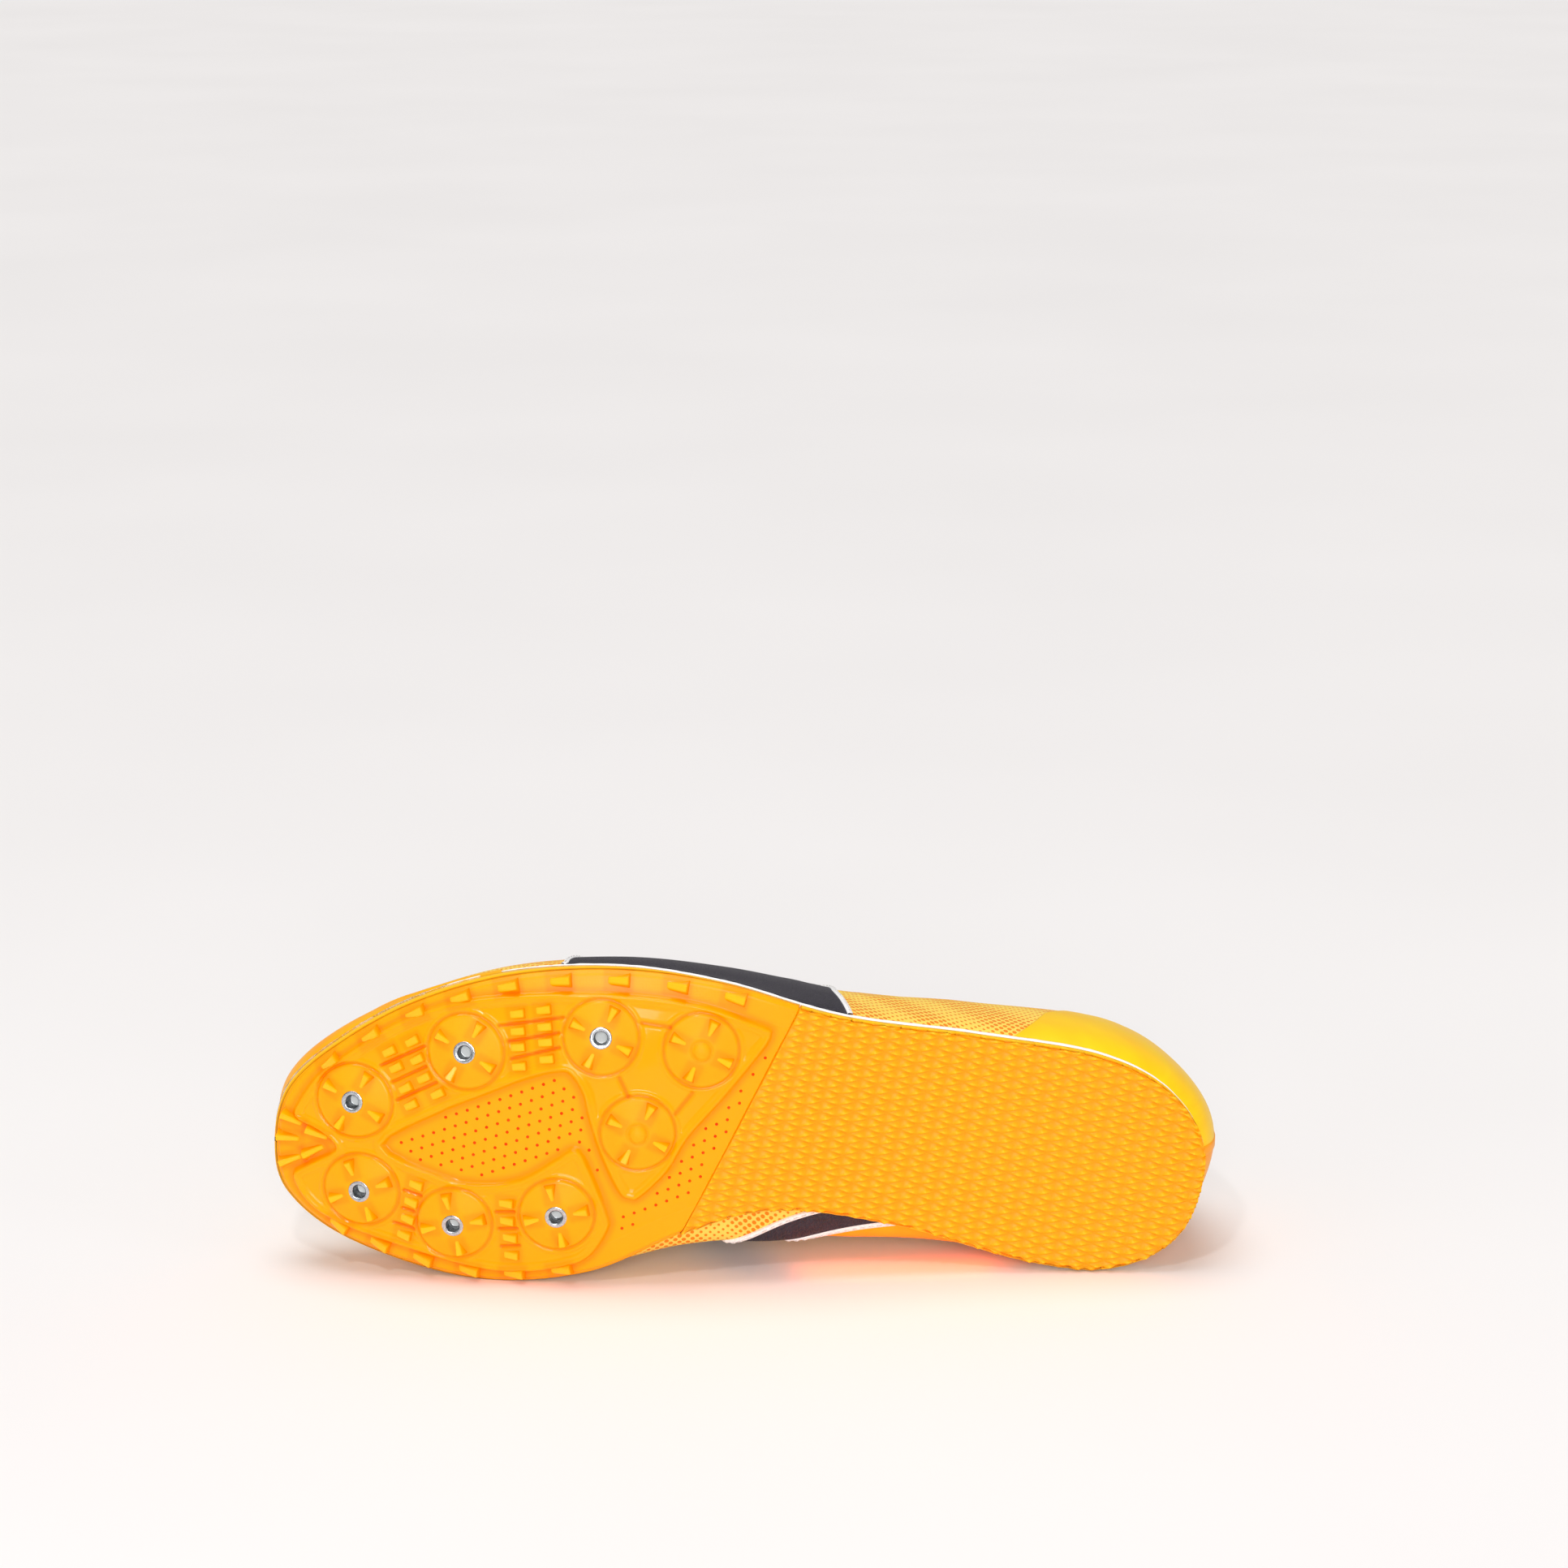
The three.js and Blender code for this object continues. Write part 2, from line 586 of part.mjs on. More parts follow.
function socketHole({ along: share, across }) {
  const radius = SOCKET_RADIUS + GAP;
  const bottom = SOCKET_TOP - SOCKET_LENGTH - GAP;
  const profile = [[0, bottom], [radius, bottom], [radius, SOCKET_TOP + CUT_REACH], [0, SOCKET_TOP + CUT_REACH]];
  return solid(turned(profile).applyMatrix4(underside(share, across)));
}

function makeSocket({ along: share, across }) {
  const bottom = SOCKET_TOP - SOCKET_LENGTH;
  const inner = SOCKET_RADIUS - SOCKET_CHAMFER;
  const profile = [
    [0, bottom], [inner, bottom], [SOCKET_RADIUS, bottom + SOCKET_CHAMFER],
    [SOCKET_RADIUS, SOCKET_TOP - SOCKET_CHAMFER], [inner, SOCKET_TOP],
    [SPIKE_BORE_RADIUS, SOCKET_TOP], [SPIKE_BORE_RADIUS, SOCKET_TOP - SPIKE_BORE_DEPTH],
    [0, SOCKET_TOP - SPIKE_BORE_DEPTH],
  ];
  return solid(turned(profile).applyMatrix4(underside(share, across)));
}

function edgeLug(side, share) {
  const row = edgeRowAt(side, share);
  const place = soleEdge(row, LUG_INSET);
  const next = soleEdge(row + 0.05, LUG_INSET).sub(place);
  const frame = underside(place.x / LENGTH, place.y / BALL_WIDTH, -Math.atan2(next.y, next.x));
  return solid(block(LUG, ROOT).applyMatrix4(frame));
}

function makePlate() {
  const grid = soleGrid(joinRows(GAP / 2), TOE_END, 0);
  const forms = [slab(grid, level(FIELD_LEVEL), level(MIDSOLE_LEVEL - GAP)), makeLobes()];
  for (const pad of PADS) forms.push(...padSolids(pad));
  for (const side of ['lateral', 'medial']) {
    for (const share of EDGE_LUGS[side]) forms.push(edgeLug(side, share));
  }
  for (const { along: share, across, turn } of TOE_CLAWS) {
    const frame = underside(share, across, THREE.MathUtils.degToRad(turn));
    forms.push(solid(block(LUG, ROOT).applyMatrix4(frame)));
  }
  const holes = PADS.filter((pad) => pad.socket).map(socketHole);
  return joined(forms).subtract(joined(holes));
}

function makeTread() {
  const low = FIELD_LEVEL;
  return slab(soleGrid(HEEL_END, joinRows(-GAP / 2), 0), level(low), level(low + TREAD_THICKNESS));
}

function wholeSole(inset, low, thickness) {
  return slab(soleGrid(HEEL_END, TOE_END, inset), level(low), level(low + thickness));
}

// Resting on the floor

function pointsOf(form) {
  const { vertProperties } = form.getMesh();
  const points = [];
  for (let i = 0; i < vertProperties.length; i += 3) points.push(new THREE.Vector3().fromArray(vertProperties, i));
  return points;
}

function centreOfVolume(forms) {
  const moment = new THREE.Vector3();
  let volume = 0;
  for (const form of forms) {
    const { vertProperties, triVerts } = form.getMesh();
    for (let i = 0; i < triVerts.length; i += 3) {
      const [a, b, c] = [0, 1, 2].map((k) => new THREE.Vector3().fromArray(vertProperties, 3 * triVerts[i + k]));
      const share = a.dot(b.clone().cross(c)) / 6;
      volume += share;
      moment.addScaledVector(a.add(b).add(c), share / 4);
    }
  }
  return moment.divideScalar(volume);
}

// Direction of the floor, near the medial side, in which the centre of volume lies lowest
function restDirection(points, centre) {
  const aim = (roll, yaw) => new THREE.Vector3(Math.sin(yaw), -Math.cos(yaw) * Math.cos(roll), Math.sin(roll));
  const height = (roll, yaw) => {
    const down = aim(roll, yaw).normalize();
    const reach = points.reduce((most, point) => Math.max(most, point.dot(down)), -Infinity);
    return reach - centre.dot(down);
  };
  let best = { roll: 0, yaw: 0, height: height(0, 0) };
  for (let step = 0.1; step > 1e-6; step /= 2) {
    let moved = true;
    while (moved) {
      moved = false;
      for (let k = 0; k < 24; k += 1) {
        const roll = best.roll + step * Math.cos((k * Math.PI) / 12);
        const yaw = best.yaw + step * Math.sin((k * Math.PI) / 12);
        const next = height(roll, yaw);
        if (next < best.height - 1e-9) {
          best = { roll, yaw, height: next };
          moved = true;
        }
      }
    }
  }
  return aim(best.roll, best.yaw).normalize();
}

function layDown(shoe, forms) {
  const points = forms.flatMap(pointsOf);
  const down = restDirection(points, centreOfVolume(forms));
  const up = down.clone().negate();
  const right = new THREE.Vector3(-1, 0, 0).addScaledVector(up, up.x).normalize();
  const back = new THREE.Vector3().crossVectors(up, right);
  const turn = new THREE.Matrix4().makeBasis(right, back, up).transpose();
  const box = new THREE.Box3().setFromPoints(points.map((point) => point.clone().applyMatrix4(turn)));
  const middle = box.getCenter(new THREE.Vector3());
  shoe.setRotationFromMatrix(turn);
  shoe.position.set(-middle.x, -middle.y, -box.min.z);
}

const FINISHES = {
  plate: { color: '#ffb400', roughness: 0.3, metalness: 0 },
  rubber: { color: '#ffb400', roughness: 0.6, metalness: 0 },
  foam: { color: '#f4f2ef', roughness: 0.8, metalness: 0 },
  mesh: { color: '#ffc428', roughness: 0.75, metalness: 0 },
  lining: { color: '#ffbe20', roughness: 0.9, metalness: 0 },
  steel: { color: '#c8ccd0', roughness: 0.25, metalness: 1 },
  lace: { color: '#f2f0ec', roughness: 0.85, metalness: 0 },
};

const shoe = new THREE.Group();
const pieces = [];

function addPiece(name, finish, form) {
  const piece = new THREE.Mesh(geometryOf(form), new THREE.MeshStandardMaterial(FINISHES[finish]));
  piece.name = name;
  shoe.add(piece);
  pieces.push(form);
}

addPiece('spike_plate', 'plate', makePlate());
addPiece('heel_tread', 'rubber', makeTread());
addPiece('midsole', 'foam', wholeSole(-MIDSOLE_PROUD, MIDSOLE_LEVEL, MIDSOLE_THICKNESS));
addPiece('upper', 'mesh', makeUpper());
addPiece('tongue', 'lining', makeTongue());
addPiece('insole', 'lining', wholeSole(INSOLE_INSET, FEATHER_LEVEL, INSOLE_THICKNESS));
addPiece('lace', 'lace', makeLace());
PADS.filter((pad) => pad.socket).forEach((pad, i) => addPiece(`spike_socket_${i + 1}`, 'steel', makeSocket(pad)));

layDown(shoe, pieces);

const track_spike_shoe = new THREE.Group();
track_spike_shoe.add(shoe);
export default track_spike_shoe;
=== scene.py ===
"""Looks of a track spike shoe that lies on its side, laid out as an add-on and run as a script."""

import json
import math

import bmesh
import bpy
import numpy as np
from bpy.props import FloatProperty, FloatVectorProperty, PointerProperty
from mathutils import Matrix, Vector

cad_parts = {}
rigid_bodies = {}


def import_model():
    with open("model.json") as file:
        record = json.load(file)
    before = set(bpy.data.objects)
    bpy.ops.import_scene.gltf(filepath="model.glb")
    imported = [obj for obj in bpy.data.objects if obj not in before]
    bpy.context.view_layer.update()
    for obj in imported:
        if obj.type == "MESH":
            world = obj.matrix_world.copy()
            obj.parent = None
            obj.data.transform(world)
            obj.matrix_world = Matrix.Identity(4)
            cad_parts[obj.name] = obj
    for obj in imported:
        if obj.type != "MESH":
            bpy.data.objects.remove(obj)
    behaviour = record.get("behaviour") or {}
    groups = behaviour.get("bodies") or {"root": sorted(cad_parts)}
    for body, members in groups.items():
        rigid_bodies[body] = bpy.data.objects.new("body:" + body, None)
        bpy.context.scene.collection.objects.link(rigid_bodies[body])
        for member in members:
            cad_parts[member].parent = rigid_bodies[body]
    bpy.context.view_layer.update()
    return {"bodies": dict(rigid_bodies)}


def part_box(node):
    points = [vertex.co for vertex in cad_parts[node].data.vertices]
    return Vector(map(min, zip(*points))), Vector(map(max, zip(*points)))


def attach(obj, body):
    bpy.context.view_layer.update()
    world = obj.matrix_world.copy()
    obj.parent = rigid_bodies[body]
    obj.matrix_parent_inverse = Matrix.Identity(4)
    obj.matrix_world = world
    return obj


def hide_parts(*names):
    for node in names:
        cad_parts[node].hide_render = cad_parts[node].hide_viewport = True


bl_info = {
    "name": "Track spike shoe",
    "version": (1, 0, 0),
    "blender": (4, 5, 0),
    "location": "View3D > Sidebar > Track spike",
    "description": "Builds the looks of a track spike shoe around its packed frame",
    "category": "Mesh",
}

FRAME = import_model()

# The shoe's own frame: X from heel to toe, Y to the lateral side, Z up, in millimetres
LENGTH = 285
BALL_WIDTH = 100
INSTEP_HEIGHT = 74
HEEL_HEIGHT = 68
TOE_SPRING = 28.8
CAMBER_RADIUS = 222
UPPER_WALL = 1.6
PLATE_THICKNESS = 2.6
MIDSOLE_THICKNESS = 3.2
INSOLE_THICKNESS = 3
TONGUE_THICKNESS = 3
TONGUE_CROWN_RADIUS = 40
EYELET_INSET = 6.5
PAD_RADIUS = 11.3
PAD_HEIGHT = 2.8
PAD_EDGE_HEIGHT = 0.9
DOME_RADIUS = 2.5
SOCKET_RADIUS = 3.4
SOCKET_LENGTH = 5.2
SOCKET_PROUD = 0.2
BORE_RADIUS = 2.05
BORE_DEPTH = 4.4
GAP = 0.3
FEATHER_INSET = 0.2
INSOLE_INSET = 4
FIELD_LEVEL = 0.6
LOBE_RAISE = 1.4
MIDSOLE_LEVEL = FIELD_LEVEL + PLATE_THICKNESS + GAP
FEATHER_LEVEL = MIDSOLE_LEVEL + MIDSOLE_THICKNESS + GAP
SOCKET_TOP = PAD_HEIGHT + SOCKET_PROUD
WIDEST_AT = 0.3
FOOT_KNEE = 0.25

# Sections around the shoe from the back of the heel, up the lateral side to the toe and back:
# the sole's edge along and across, the widest line out and up, the topline along, across and up, the lean
ALONG, ACROSS, OUT, UP, TOP_ALONG, TOP_ACROSS, TOP_UP, LEAN = range(8)
SECTIONS = np.array([
    [0.000, -0.010, 0.066, 0.38, 0.021, -0.020, 1.000, 85],
    [0.035, 0.181, 0.050, 0.38, 0.049, 0.140, 0.946, 85],
    [0.112, 0.301, 0.040, 0.38, 0.119, 0.250, 0.788, 85],
    [0.246, 0.369, 0.025, 0.40, 0.232, 0.310, 0.700, 85],
    [0.386, 0.434, 0.010, 0.35, 0.337, 0.260, 0.863, 82],
    [0.514, 0.546, -0.010, 0.24, 0.414, 0.180, 0.973, 78],
    [0.632, 0.589, -0.004, 0.14, 0.491, 0.160, 0.919, 75],
    [0.746, 0.564, 0.000, 0.13, 0.561, 0.162, 0.831, 72],
    [0.849, 0.468, 0.000, 0.14, 0.618, 0.160, 0.764, 70],
    [0.932, 0.322, 0.010, 0.17, 0.653, 0.140, 0.723, 68],
    [0.984, 0.175, 0.004, 0.19, 0.672, 0.110, 0.707, 66],
    [1.000, 0.005, -0.010, 0.20, 0.679, 0.070, 0.703, 66],
    [0.987, -0.160, -0.008, 0.19, 0.672, 0.030, 0.707, 66],
    [0.919, -0.300, -0.004, 0.20, 0.653, -0.010, 0.723, 68],
    [0.789, -0.397, -0.003, 0.22, 0.604, -0.046, 0.784, 72],
    [0.667, -0.361, 0.015, 0.21, 0.533, -0.080, 0.878, 76],
    [0.561, -0.223, 0.078, 0.18, 0.463, -0.115, 0.966, 80],
    [0.463, -0.160, 0.133, 0.19, 0.393, -0.165, 1.000, 82],
    [0.333, -0.227, 0.085, 0.25, 0.316, -0.240, 0.853, 84],
    [0.193, -0.350, 0.012, 0.38, 0.218, -0.300, 0.715, 85],
    [0.095, -0.375, 0.004, 0.38, 0.112, -0.260, 0.789, 85],
    [0.023, -0.260, 0.016, 0.38, 0.046, -0.160, 0.946, 85],
])
TOE_ROW = 11
HEEL_ROW = len(SECTIONS)

# Height of the sole's lower surface along the foot
SOLE_PROFILE = np.array([
    [-0.053, -0.027],
    [0.053, 0.041],
    [0.158, 0.122],
    [0.263, 0.160],
    [0.368, 0.115],
    [0.474, 0.011],
    [0.579, -0.026],
    [0.684, 0.068],
    [0.789, 0.281],
    [0.895, 0.595],
    [1.000, 1.000],
    [1.105, 1.440],
])
CAMBER_START, CAMBER_FULL = 0.42, 0.63
JOIN_LATERAL, JOIN_MEDIAL = 0.439, 0.568

# Pads of the spike plate: along, across, turn of the cleats in degrees, and whether a socket sits in it
PADS = (
    (0.913, 0.160, 61, True),
    (0.907, -0.121, 21, True),
    (0.794, 0.334, 60, True),
    (0.651, 0.391, 64, True),
    (0.808, -0.208, 13, True),
    (0.699, -0.164, 12, True),
    (0.545, 0.354, 65, False),
    (0.613, 0.100, 63, False),
)
EDGE_LUGS = (
    (0.507, 0.569, 0.632, 0.695, 0.752, 0.804, 0.853, 0.902, 0.947),
    (0.693, 0.745, 0.795, 0.846, 0.893, 0.938),
)
LUG_INSET = 3.4
# Blocks: length, near and far width, height at the near and far end, and the crest's share of the width
PAD_CLEAT = (5.6, 1.7, 3.9, 0.7, 1.9, 0.45)
ROW_CLEAT, EDGE_LUG, TOE_CLAW = (5.4, 3.3, 3.9, 0.25), (7.6, 3.2, 5.0, 0.35), (8.2, 2.2, 4.4, 0.5)
ROW_CREST, LUG_CREST, CLAW_CREST = 0.5, 0.42, 0.36
# Cleats on a pad stand on a circle of this radius, this high over the sole
CLEAT_CIRCLE, CLEAT_GROUND = 7.3, 2.1
LUG_SINK = 0.5
TOE_CLAWS = (
    (0.982, 0.080, -25), (0.986, 0.020, -5), (0.984, -0.050, 20), (0.955, 0.042, -22), (0.959, -0.014, 26)
)
LOBE_OUTLINE = (
    (0.936, 0.017), (0.952, 0.053), (0.978, 0.090), (0.972, 0.147), (0.951, 0.232), (0.926, 0.290),
    (0.868, 0.406), (0.797, 0.486), (0.701, 0.518), (0.611, 0.515), (0.539, 0.486), (0.479, 0.424),
    (0.471, 0.400), (0.480, 0.352), (0.519, 0.215), (0.560, 0.083), (0.581, -0.018), (0.611, -0.104),
    (0.622, -0.110), (0.633, -0.088), (0.651, 0.022), (0.664, 0.134), (0.671, 0.218), (0.683, 0.274),
    (0.696, 0.285), (0.731, 0.259), (0.783, 0.195), (0.823, 0.142), (0.884, 0.026), (0.824, -0.059),
    (0.784, -0.079), (0.738, -0.057), (0.698, 0.015), (0.684, 0.042), (0.674, 0.036), (0.664, -0.022),
    (0.646, -0.158), (0.645, -0.211), (0.664, -0.299), (0.690, -0.337), (0.740, -0.362), (0.788, -0.354),
    (0.852, -0.310), (0.928, -0.246), (0.964, -0.186), (0.981, -0.104), (0.970, -0.066), (0.938, -0.011),
)
# Middle line of the tongue: along, across, up and half its width
TONGUE = np.array([
    [0.719, 0.070, 0.645, 0.110],
    [0.677, 0.065, 0.666, 0.130],
    [0.604, 0.057, 0.755, 0.150],
    [0.526, 0.040, 0.853, 0.170],
    [0.456, 0.024, 0.938, 0.175],
    [0.414, 0.012, 0.978, 0.165],
    [0.382, 0.005, 1.030, 0.160],
    [0.351, 0.000, 1.105, 0.170],
    [0.324, -0.005, 1.185, 0.170],
    [0.302, -0.005, 1.250, 0.140],
])
EYELETS = (
    (5.15, 5.75, 6.35, 7.00, 7.70, 8.60),
    (16.55, 15.90, 15.25, 14.60, 14.00, 13.35),
)


def hex_colour(code):
    """sRGB hex to linear RGB, the one place where colours are turned."""
    shares = [int(code[i : i + 2], 16) / 255 for i in (1, 3, 5)]
    return tuple(s / 12.92 if s <= 0.04045 else ((s + 0.055) / 1.055) ** 2.4 for s in shares)


# Curves and surfaces of the shoe, for arrays of row numbers and climbs


def hermite(p, t):
    """Smooth curve between the middle two of four values."""
    before, a, b, after = p
    slope_a, slope_b = (b - before) / 2, (after - a) / 2
    t2, t3 = t * t, t * t * t
    start = (2 * t3 - 3 * t2 + 1) * a + (t3 - 2 * t2 + t) * slope_a
    return start + (3 * t2 - 2 * t3) * b + (t3 - t2) * slope_b


def around(column, row):
    """A column of the sections at any row, closed around the shoe."""
    row = np.asarray(row, float)
    i = np.floor(row).astype(int)
    values = SECTIONS[:, column]
    return hermite([values[(i + k) % HEEL_ROW] for k in (-1, 0, 1, 2)], row - i)


def along_table(values, row):
    """Values of an open table at any row."""
    row = np.asarray(row, float)
    last = len(values) - 1
    i = np.clip(np.floor(row).astype(int), 0, last - 1)
    return hermite([values[np.clip(i + k, 0, last)] for k in (-1, 0, 1, 2)], row - i)


def unit(vectors):
    """Vectors along the last axis, each one long."""
    return vectors / np.linalg.norm(vectors, axis=-1, keepdims=True)


def run_along(points):
    """Length of the way to each point of a line."""
    return np.concatenate([[0], np.cumsum(np.linalg.norm(np.diff(points, axis=0), axis=1))])


def full_turn(count):
    """Angles evenly around a circle."""
    return np.linspace(0, 2 * math.pi, count, endpoint=False)


def squarish(angles, across, high):
    """A round section pressed towards a square, by the powers of its two directions."""
    c, s = np.cos(angles), np.sin(angles)
    return np.sign(c) * np.abs(c) ** across, np.sign(s) * np.abs(s) ** high


def smoothstep(value, low, high):
    """0 below low and 1 above high, with a soft step between."""
    t = np.clip((value - low) / (high - low), 0, 1)
    return t * t * (3 - 2 * t)


def sole_level(x, y):
    """Height of the sole's reference surface."""
    first, last = SOLE_PROFILE[0, 0], SOLE_PROFILE[-1, 0]
    step = (last - first) / (len(SOLE_PROFILE) - 1)
    profile = TOE_SPRING * along_table(SOLE_PROFILE[:, 1], (x / LENGTH - first) / step)
    camber = smoothstep(x / LENGTH, CAMBER_START, CAMBER_FULL) / CAMBER_RADIUS
    return profile + camber * y * y / 2


def sole_edge(row, inset=0.0):
    """Plan points of the sole's edge, moved in by inset."""
    row = np.asarray(row, float)

    def place(r):
        return np.stack([LENGTH * around(ALONG, r), BALL_WIDTH * around(ACROSS, r)], -1)

    forward = unit(place(row + 0.01) - place(row - 0.01))
    outward = np.stack([-forward[..., 1], forward[..., 0]], -1)
    return place(row) - outward * np.asarray(inset)[..., None]


def edge_row(side, share):
    """Row where the sole's edge passes a share of the length, on one side."""
    near, far = (0.0, float(TOE_ROW)) if side == "lateral" else (float(HEEL_ROW), float(TOE_ROW))
    for _ in range(40):
        middle = (near + far) / 2
        if around(ALONG, middle) < share:
            near = middle
        else:
            far = middle
    return near


def topline(row):
    """The upper's top edge."""
    x = LENGTH * around(TOP_ALONG, row)
    y = BALL_WIDTH * around(TOP_ACROSS, row)
    height = HEEL_HEIGHT + (INSTEP_HEIGHT - HEEL_HEIGHT) * np.minimum(x / (0.4 * LENGTH), 1)
    return np.stack([x, y, height * around(TOP_UP, row)], -1)


def bare_upper(row, climb):
    """The upper's outer face, smooth as it comes off the last."""
    row, climb = np.broadcast_arrays(np.asarray(row, float), np.asarray(climb, float))
    foot = sole_edge(row, FEATHER_INSET)
    foot_up = sole_level(foot[..., 0], foot[..., 1]) + FEATHER_LEVEL
    wide = sole_edge(row, -BALL_WIDTH * around(OUT, row))
    wide_up = sole_level(foot[..., 0], foot[..., 1]) + HEEL_HEIGHT * around(UP, row)
    foot = np.concatenate([foot, foot_up[..., None]], -1)
    knee = np.concatenate([wide, (foot_up + FOOT_KNEE * (wide_up - foot_up))[..., None]], -1)
    wide = np.concatenate([wide, wide_up[..., None]], -1)
    t = np.clip(climb / WIDEST_AT, 0, 1)[..., None]
    lower = (1 - t) ** 2 * foot + 2 * t * (1 - t) * knee + t * t * wide
    top = topline(row)
    lean = np.radians(around(LEAN, row))
    angle = lean * np.clip((climb - WIDEST_AT) / (1 - WIDEST_AT), 0, 1)
    inward = ((1 - np.cos(angle)) / (1 - np.cos(lean)))[..., None]
    upward = (np.sin(angle) / np.sin(lean))[..., None]
    upper = wide + (top - wide) * np.concatenate([inward, inward, upward], -1)
    return np.where(climb[..., None] < WIDEST_AT, lower, upper)


def upper_normal(row, climb):
    """Outward direction of the upper."""
    row, climb = np.broadcast_arrays(np.asarray(row, float), np.asarray(climb, float))
    up = bare_upper(row, np.clip(climb + 0.01, 0, 1)) - bare_upper(row, np.clip(climb - 0.01, 0, 1))
    on = bare_upper(row + 0.01, climb) - bare_upper(row - 0.01, climb)
    normal = np.cross(up, on)
    return normal / np.maximum(np.linalg.norm(normal, axis=-1, keepdims=True), 1e-9)


# Creases in millimetres of plan: two ends, half width, depth, and the height above which each one acts
CREASES = (
    (212, 38, 226, -6, 2.4, 0.75, 16),
    (221, 42, 238, 4, 2.0, 0.55, 14),
    (203, -36, 218, 2, 2.6, 0.70, 18),
    (236, -30, 243, 6, 2.0, 0.45, 16),
    (118, 44, 92, 34, 3.2, 0.80, 24),
    (104, 42, 80, 37, 2.8, 0.60, 30),
    (122, -26, 96, -33, 3.2, 0.75, 24),
    (34, 29, 22, 22, 2.6, 0.50, 34),
    (30, -37, 16, -28, 2.6, 0.50, 34),
)


def upper_point(row, climb, lift=0.0):
    """The upper's outer face with its creases, lifted along its normal."""
    base = bare_upper(row, climb)
    x, y, z = base[..., 0], base[..., 1], base[..., 2]
    sunk = np.zeros(x.shape)
    for x0, y0, x1, y1, half, depth, above in CREASES:
        run = np.array([x1 - x0, y1 - y0], float)
        reach = np.clip(((x - x0) * run[0] + (y - y0) * run[1]) / (run @ run), 0, 1)
        gap = np.hypot(x - x0 - reach * run[0], y - y0 - reach * run[1])
        fade = np.sin(math.pi * np.clip(reach, 0.04, 0.96)) ** 0.7
        valley = np.exp(-((gap / half) ** 2)) - 0.45 * np.exp(-(((gap - 2.1 * half) / half) ** 2))
        sunk += depth * valley * fade * smoothstep(z, above, above + 8)
    return base + upper_normal(row, climb) * (np.asarray(lift) - sunk)[..., None]


def climb_at(row, distance):
    """Climb at a plan distance from the topline."""
    row, distance = np.broadcast_arrays(np.asarray(row, float), np.asarray(distance, float))
    top = topline(row)
    low, high = np.full(row.shape, WIDEST_AT), np.ones(row.shape)
    for _ in range(24):
        middle = (low + high) / 2
        point = bare_upper(row, middle)
        far = np.hypot(point[..., 0] - top[..., 0], point[..., 1] - top[..., 1]) > distance
        low, high = np.where(far, middle, low), np.where(far, high, middle)
    return low


def sole_slopes(x, y, step=0.5):
    """Slopes of the sole's reference surface, along and across."""
    slope_x = (sole_level(x + step, y) - sole_level(x - step, y)) / (2 * step)
    slope_y = (sole_level(x, y + step) - sole_level(x, y - step)) / (2 * step)
    return slope_x, slope_y


def sole_frame(x, y):
    """Forward, side and outward directions of the sole's underside at a place, and the place."""
    slope_x, slope_y = sole_slopes(x, y)
    outward = np.array([slope_x, slope_y, -1.0])
    outward /= np.linalg.norm(outward)
    side = np.cross(outward, [1, 0, slope_x])
    side /= np.linalg.norm(side)
    return np.cross(side, outward), side, outward, np.array([x, y, float(sole_level(x, y))])


def find_shoe():
    """Turn and shift from the shoe's own frame to the row frame, from the middles of the six sockets."""
    own, seen = [], []
    for i, (share, across, _, _) in enumerate([pad for pad in PADS if pad[3]]):
        _, _, outward, place = sole_frame(share * LENGTH, across * BALL_WIDTH)
        own.append(place + outward * (SOCKET_TOP - SOCKET_LENGTH / 2))
        low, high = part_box(f"spike_socket_{i + 1}")
        seen.append(np.array((low + high) / 2) * 1000)
    own, seen = np.array(own), np.array(seen)
    u, _, vt = np.linalg.svd((own - own.mean(0)).T @ (seen - seen.mean(0)))
    flip = np.diag([1, 1, np.sign(np.linalg.det(vt.T @ u.T))])
    turn = vt.T @ flip @ u.T
    shift = seen.mean(0) - turn @ own.mean(0)
    miss = np.abs(own @ turn.T + shift - seen).max()
    if miss > 0.1:
        raise RuntimeError(f"the sockets don't fit the shoe's frame: {miss:.2f} mm")
    return turn, shift


TURN, SHIFT = find_shoe()


def to_row(points):
    """From the shoe's own frame in millimetres to the row frame in metres."""
    return (np.asarray(points, float).reshape(-1, 3) @ TURN.T + SHIFT) / 1000


# Finishes


def add(tree, kind, inputs=None, to=None, stops=(), **settings):
    """Adds one node with its settings and stops, links or sets its inputs, and links its first output."""
    node = tree.nodes.new(kind)
    for name, value in settings.items():
        setattr(node, name, value)
    for key, value in (inputs or {}).items():
        if isinstance(value, bpy.types.NodeSocket):
            tree.links.new(value, node.inputs[key])
        else:
            node.inputs[key].default_value = value
    for i, (position, colour) in enumerate(stops):
        element = node.color_ramp.elements[i] if i < 2 else node.color_ramp.elements.new(position)
        element.position = position
        element.color = (*(hex_colour(colour) if isinstance(colour, str) else colour), 1)
    if to is not None:
        tree.links.new(node.outputs[0], to)
    return node


def start_material(name, cloth=False, **sockets):
    """New material whose shader has these constant values, and the place on the piece or its cloth."""
    material = bpy.data.materials.new(name)
    material.use_nodes = True
    tree = material.node_tree
    shader = tree.nodes["Principled BSDF"]
    for key, value in sockets.items():
        shader.inputs[key.replace("_", " ")].default_value = value
    if cloth:
        place = add(tree, "ShaderNodeUVMap", uv_map="cloth").outputs["UV"]
    else:
        place = add(tree, "ShaderNodeTexCoord").outputs["Object"]
    return material, tree, shader, place


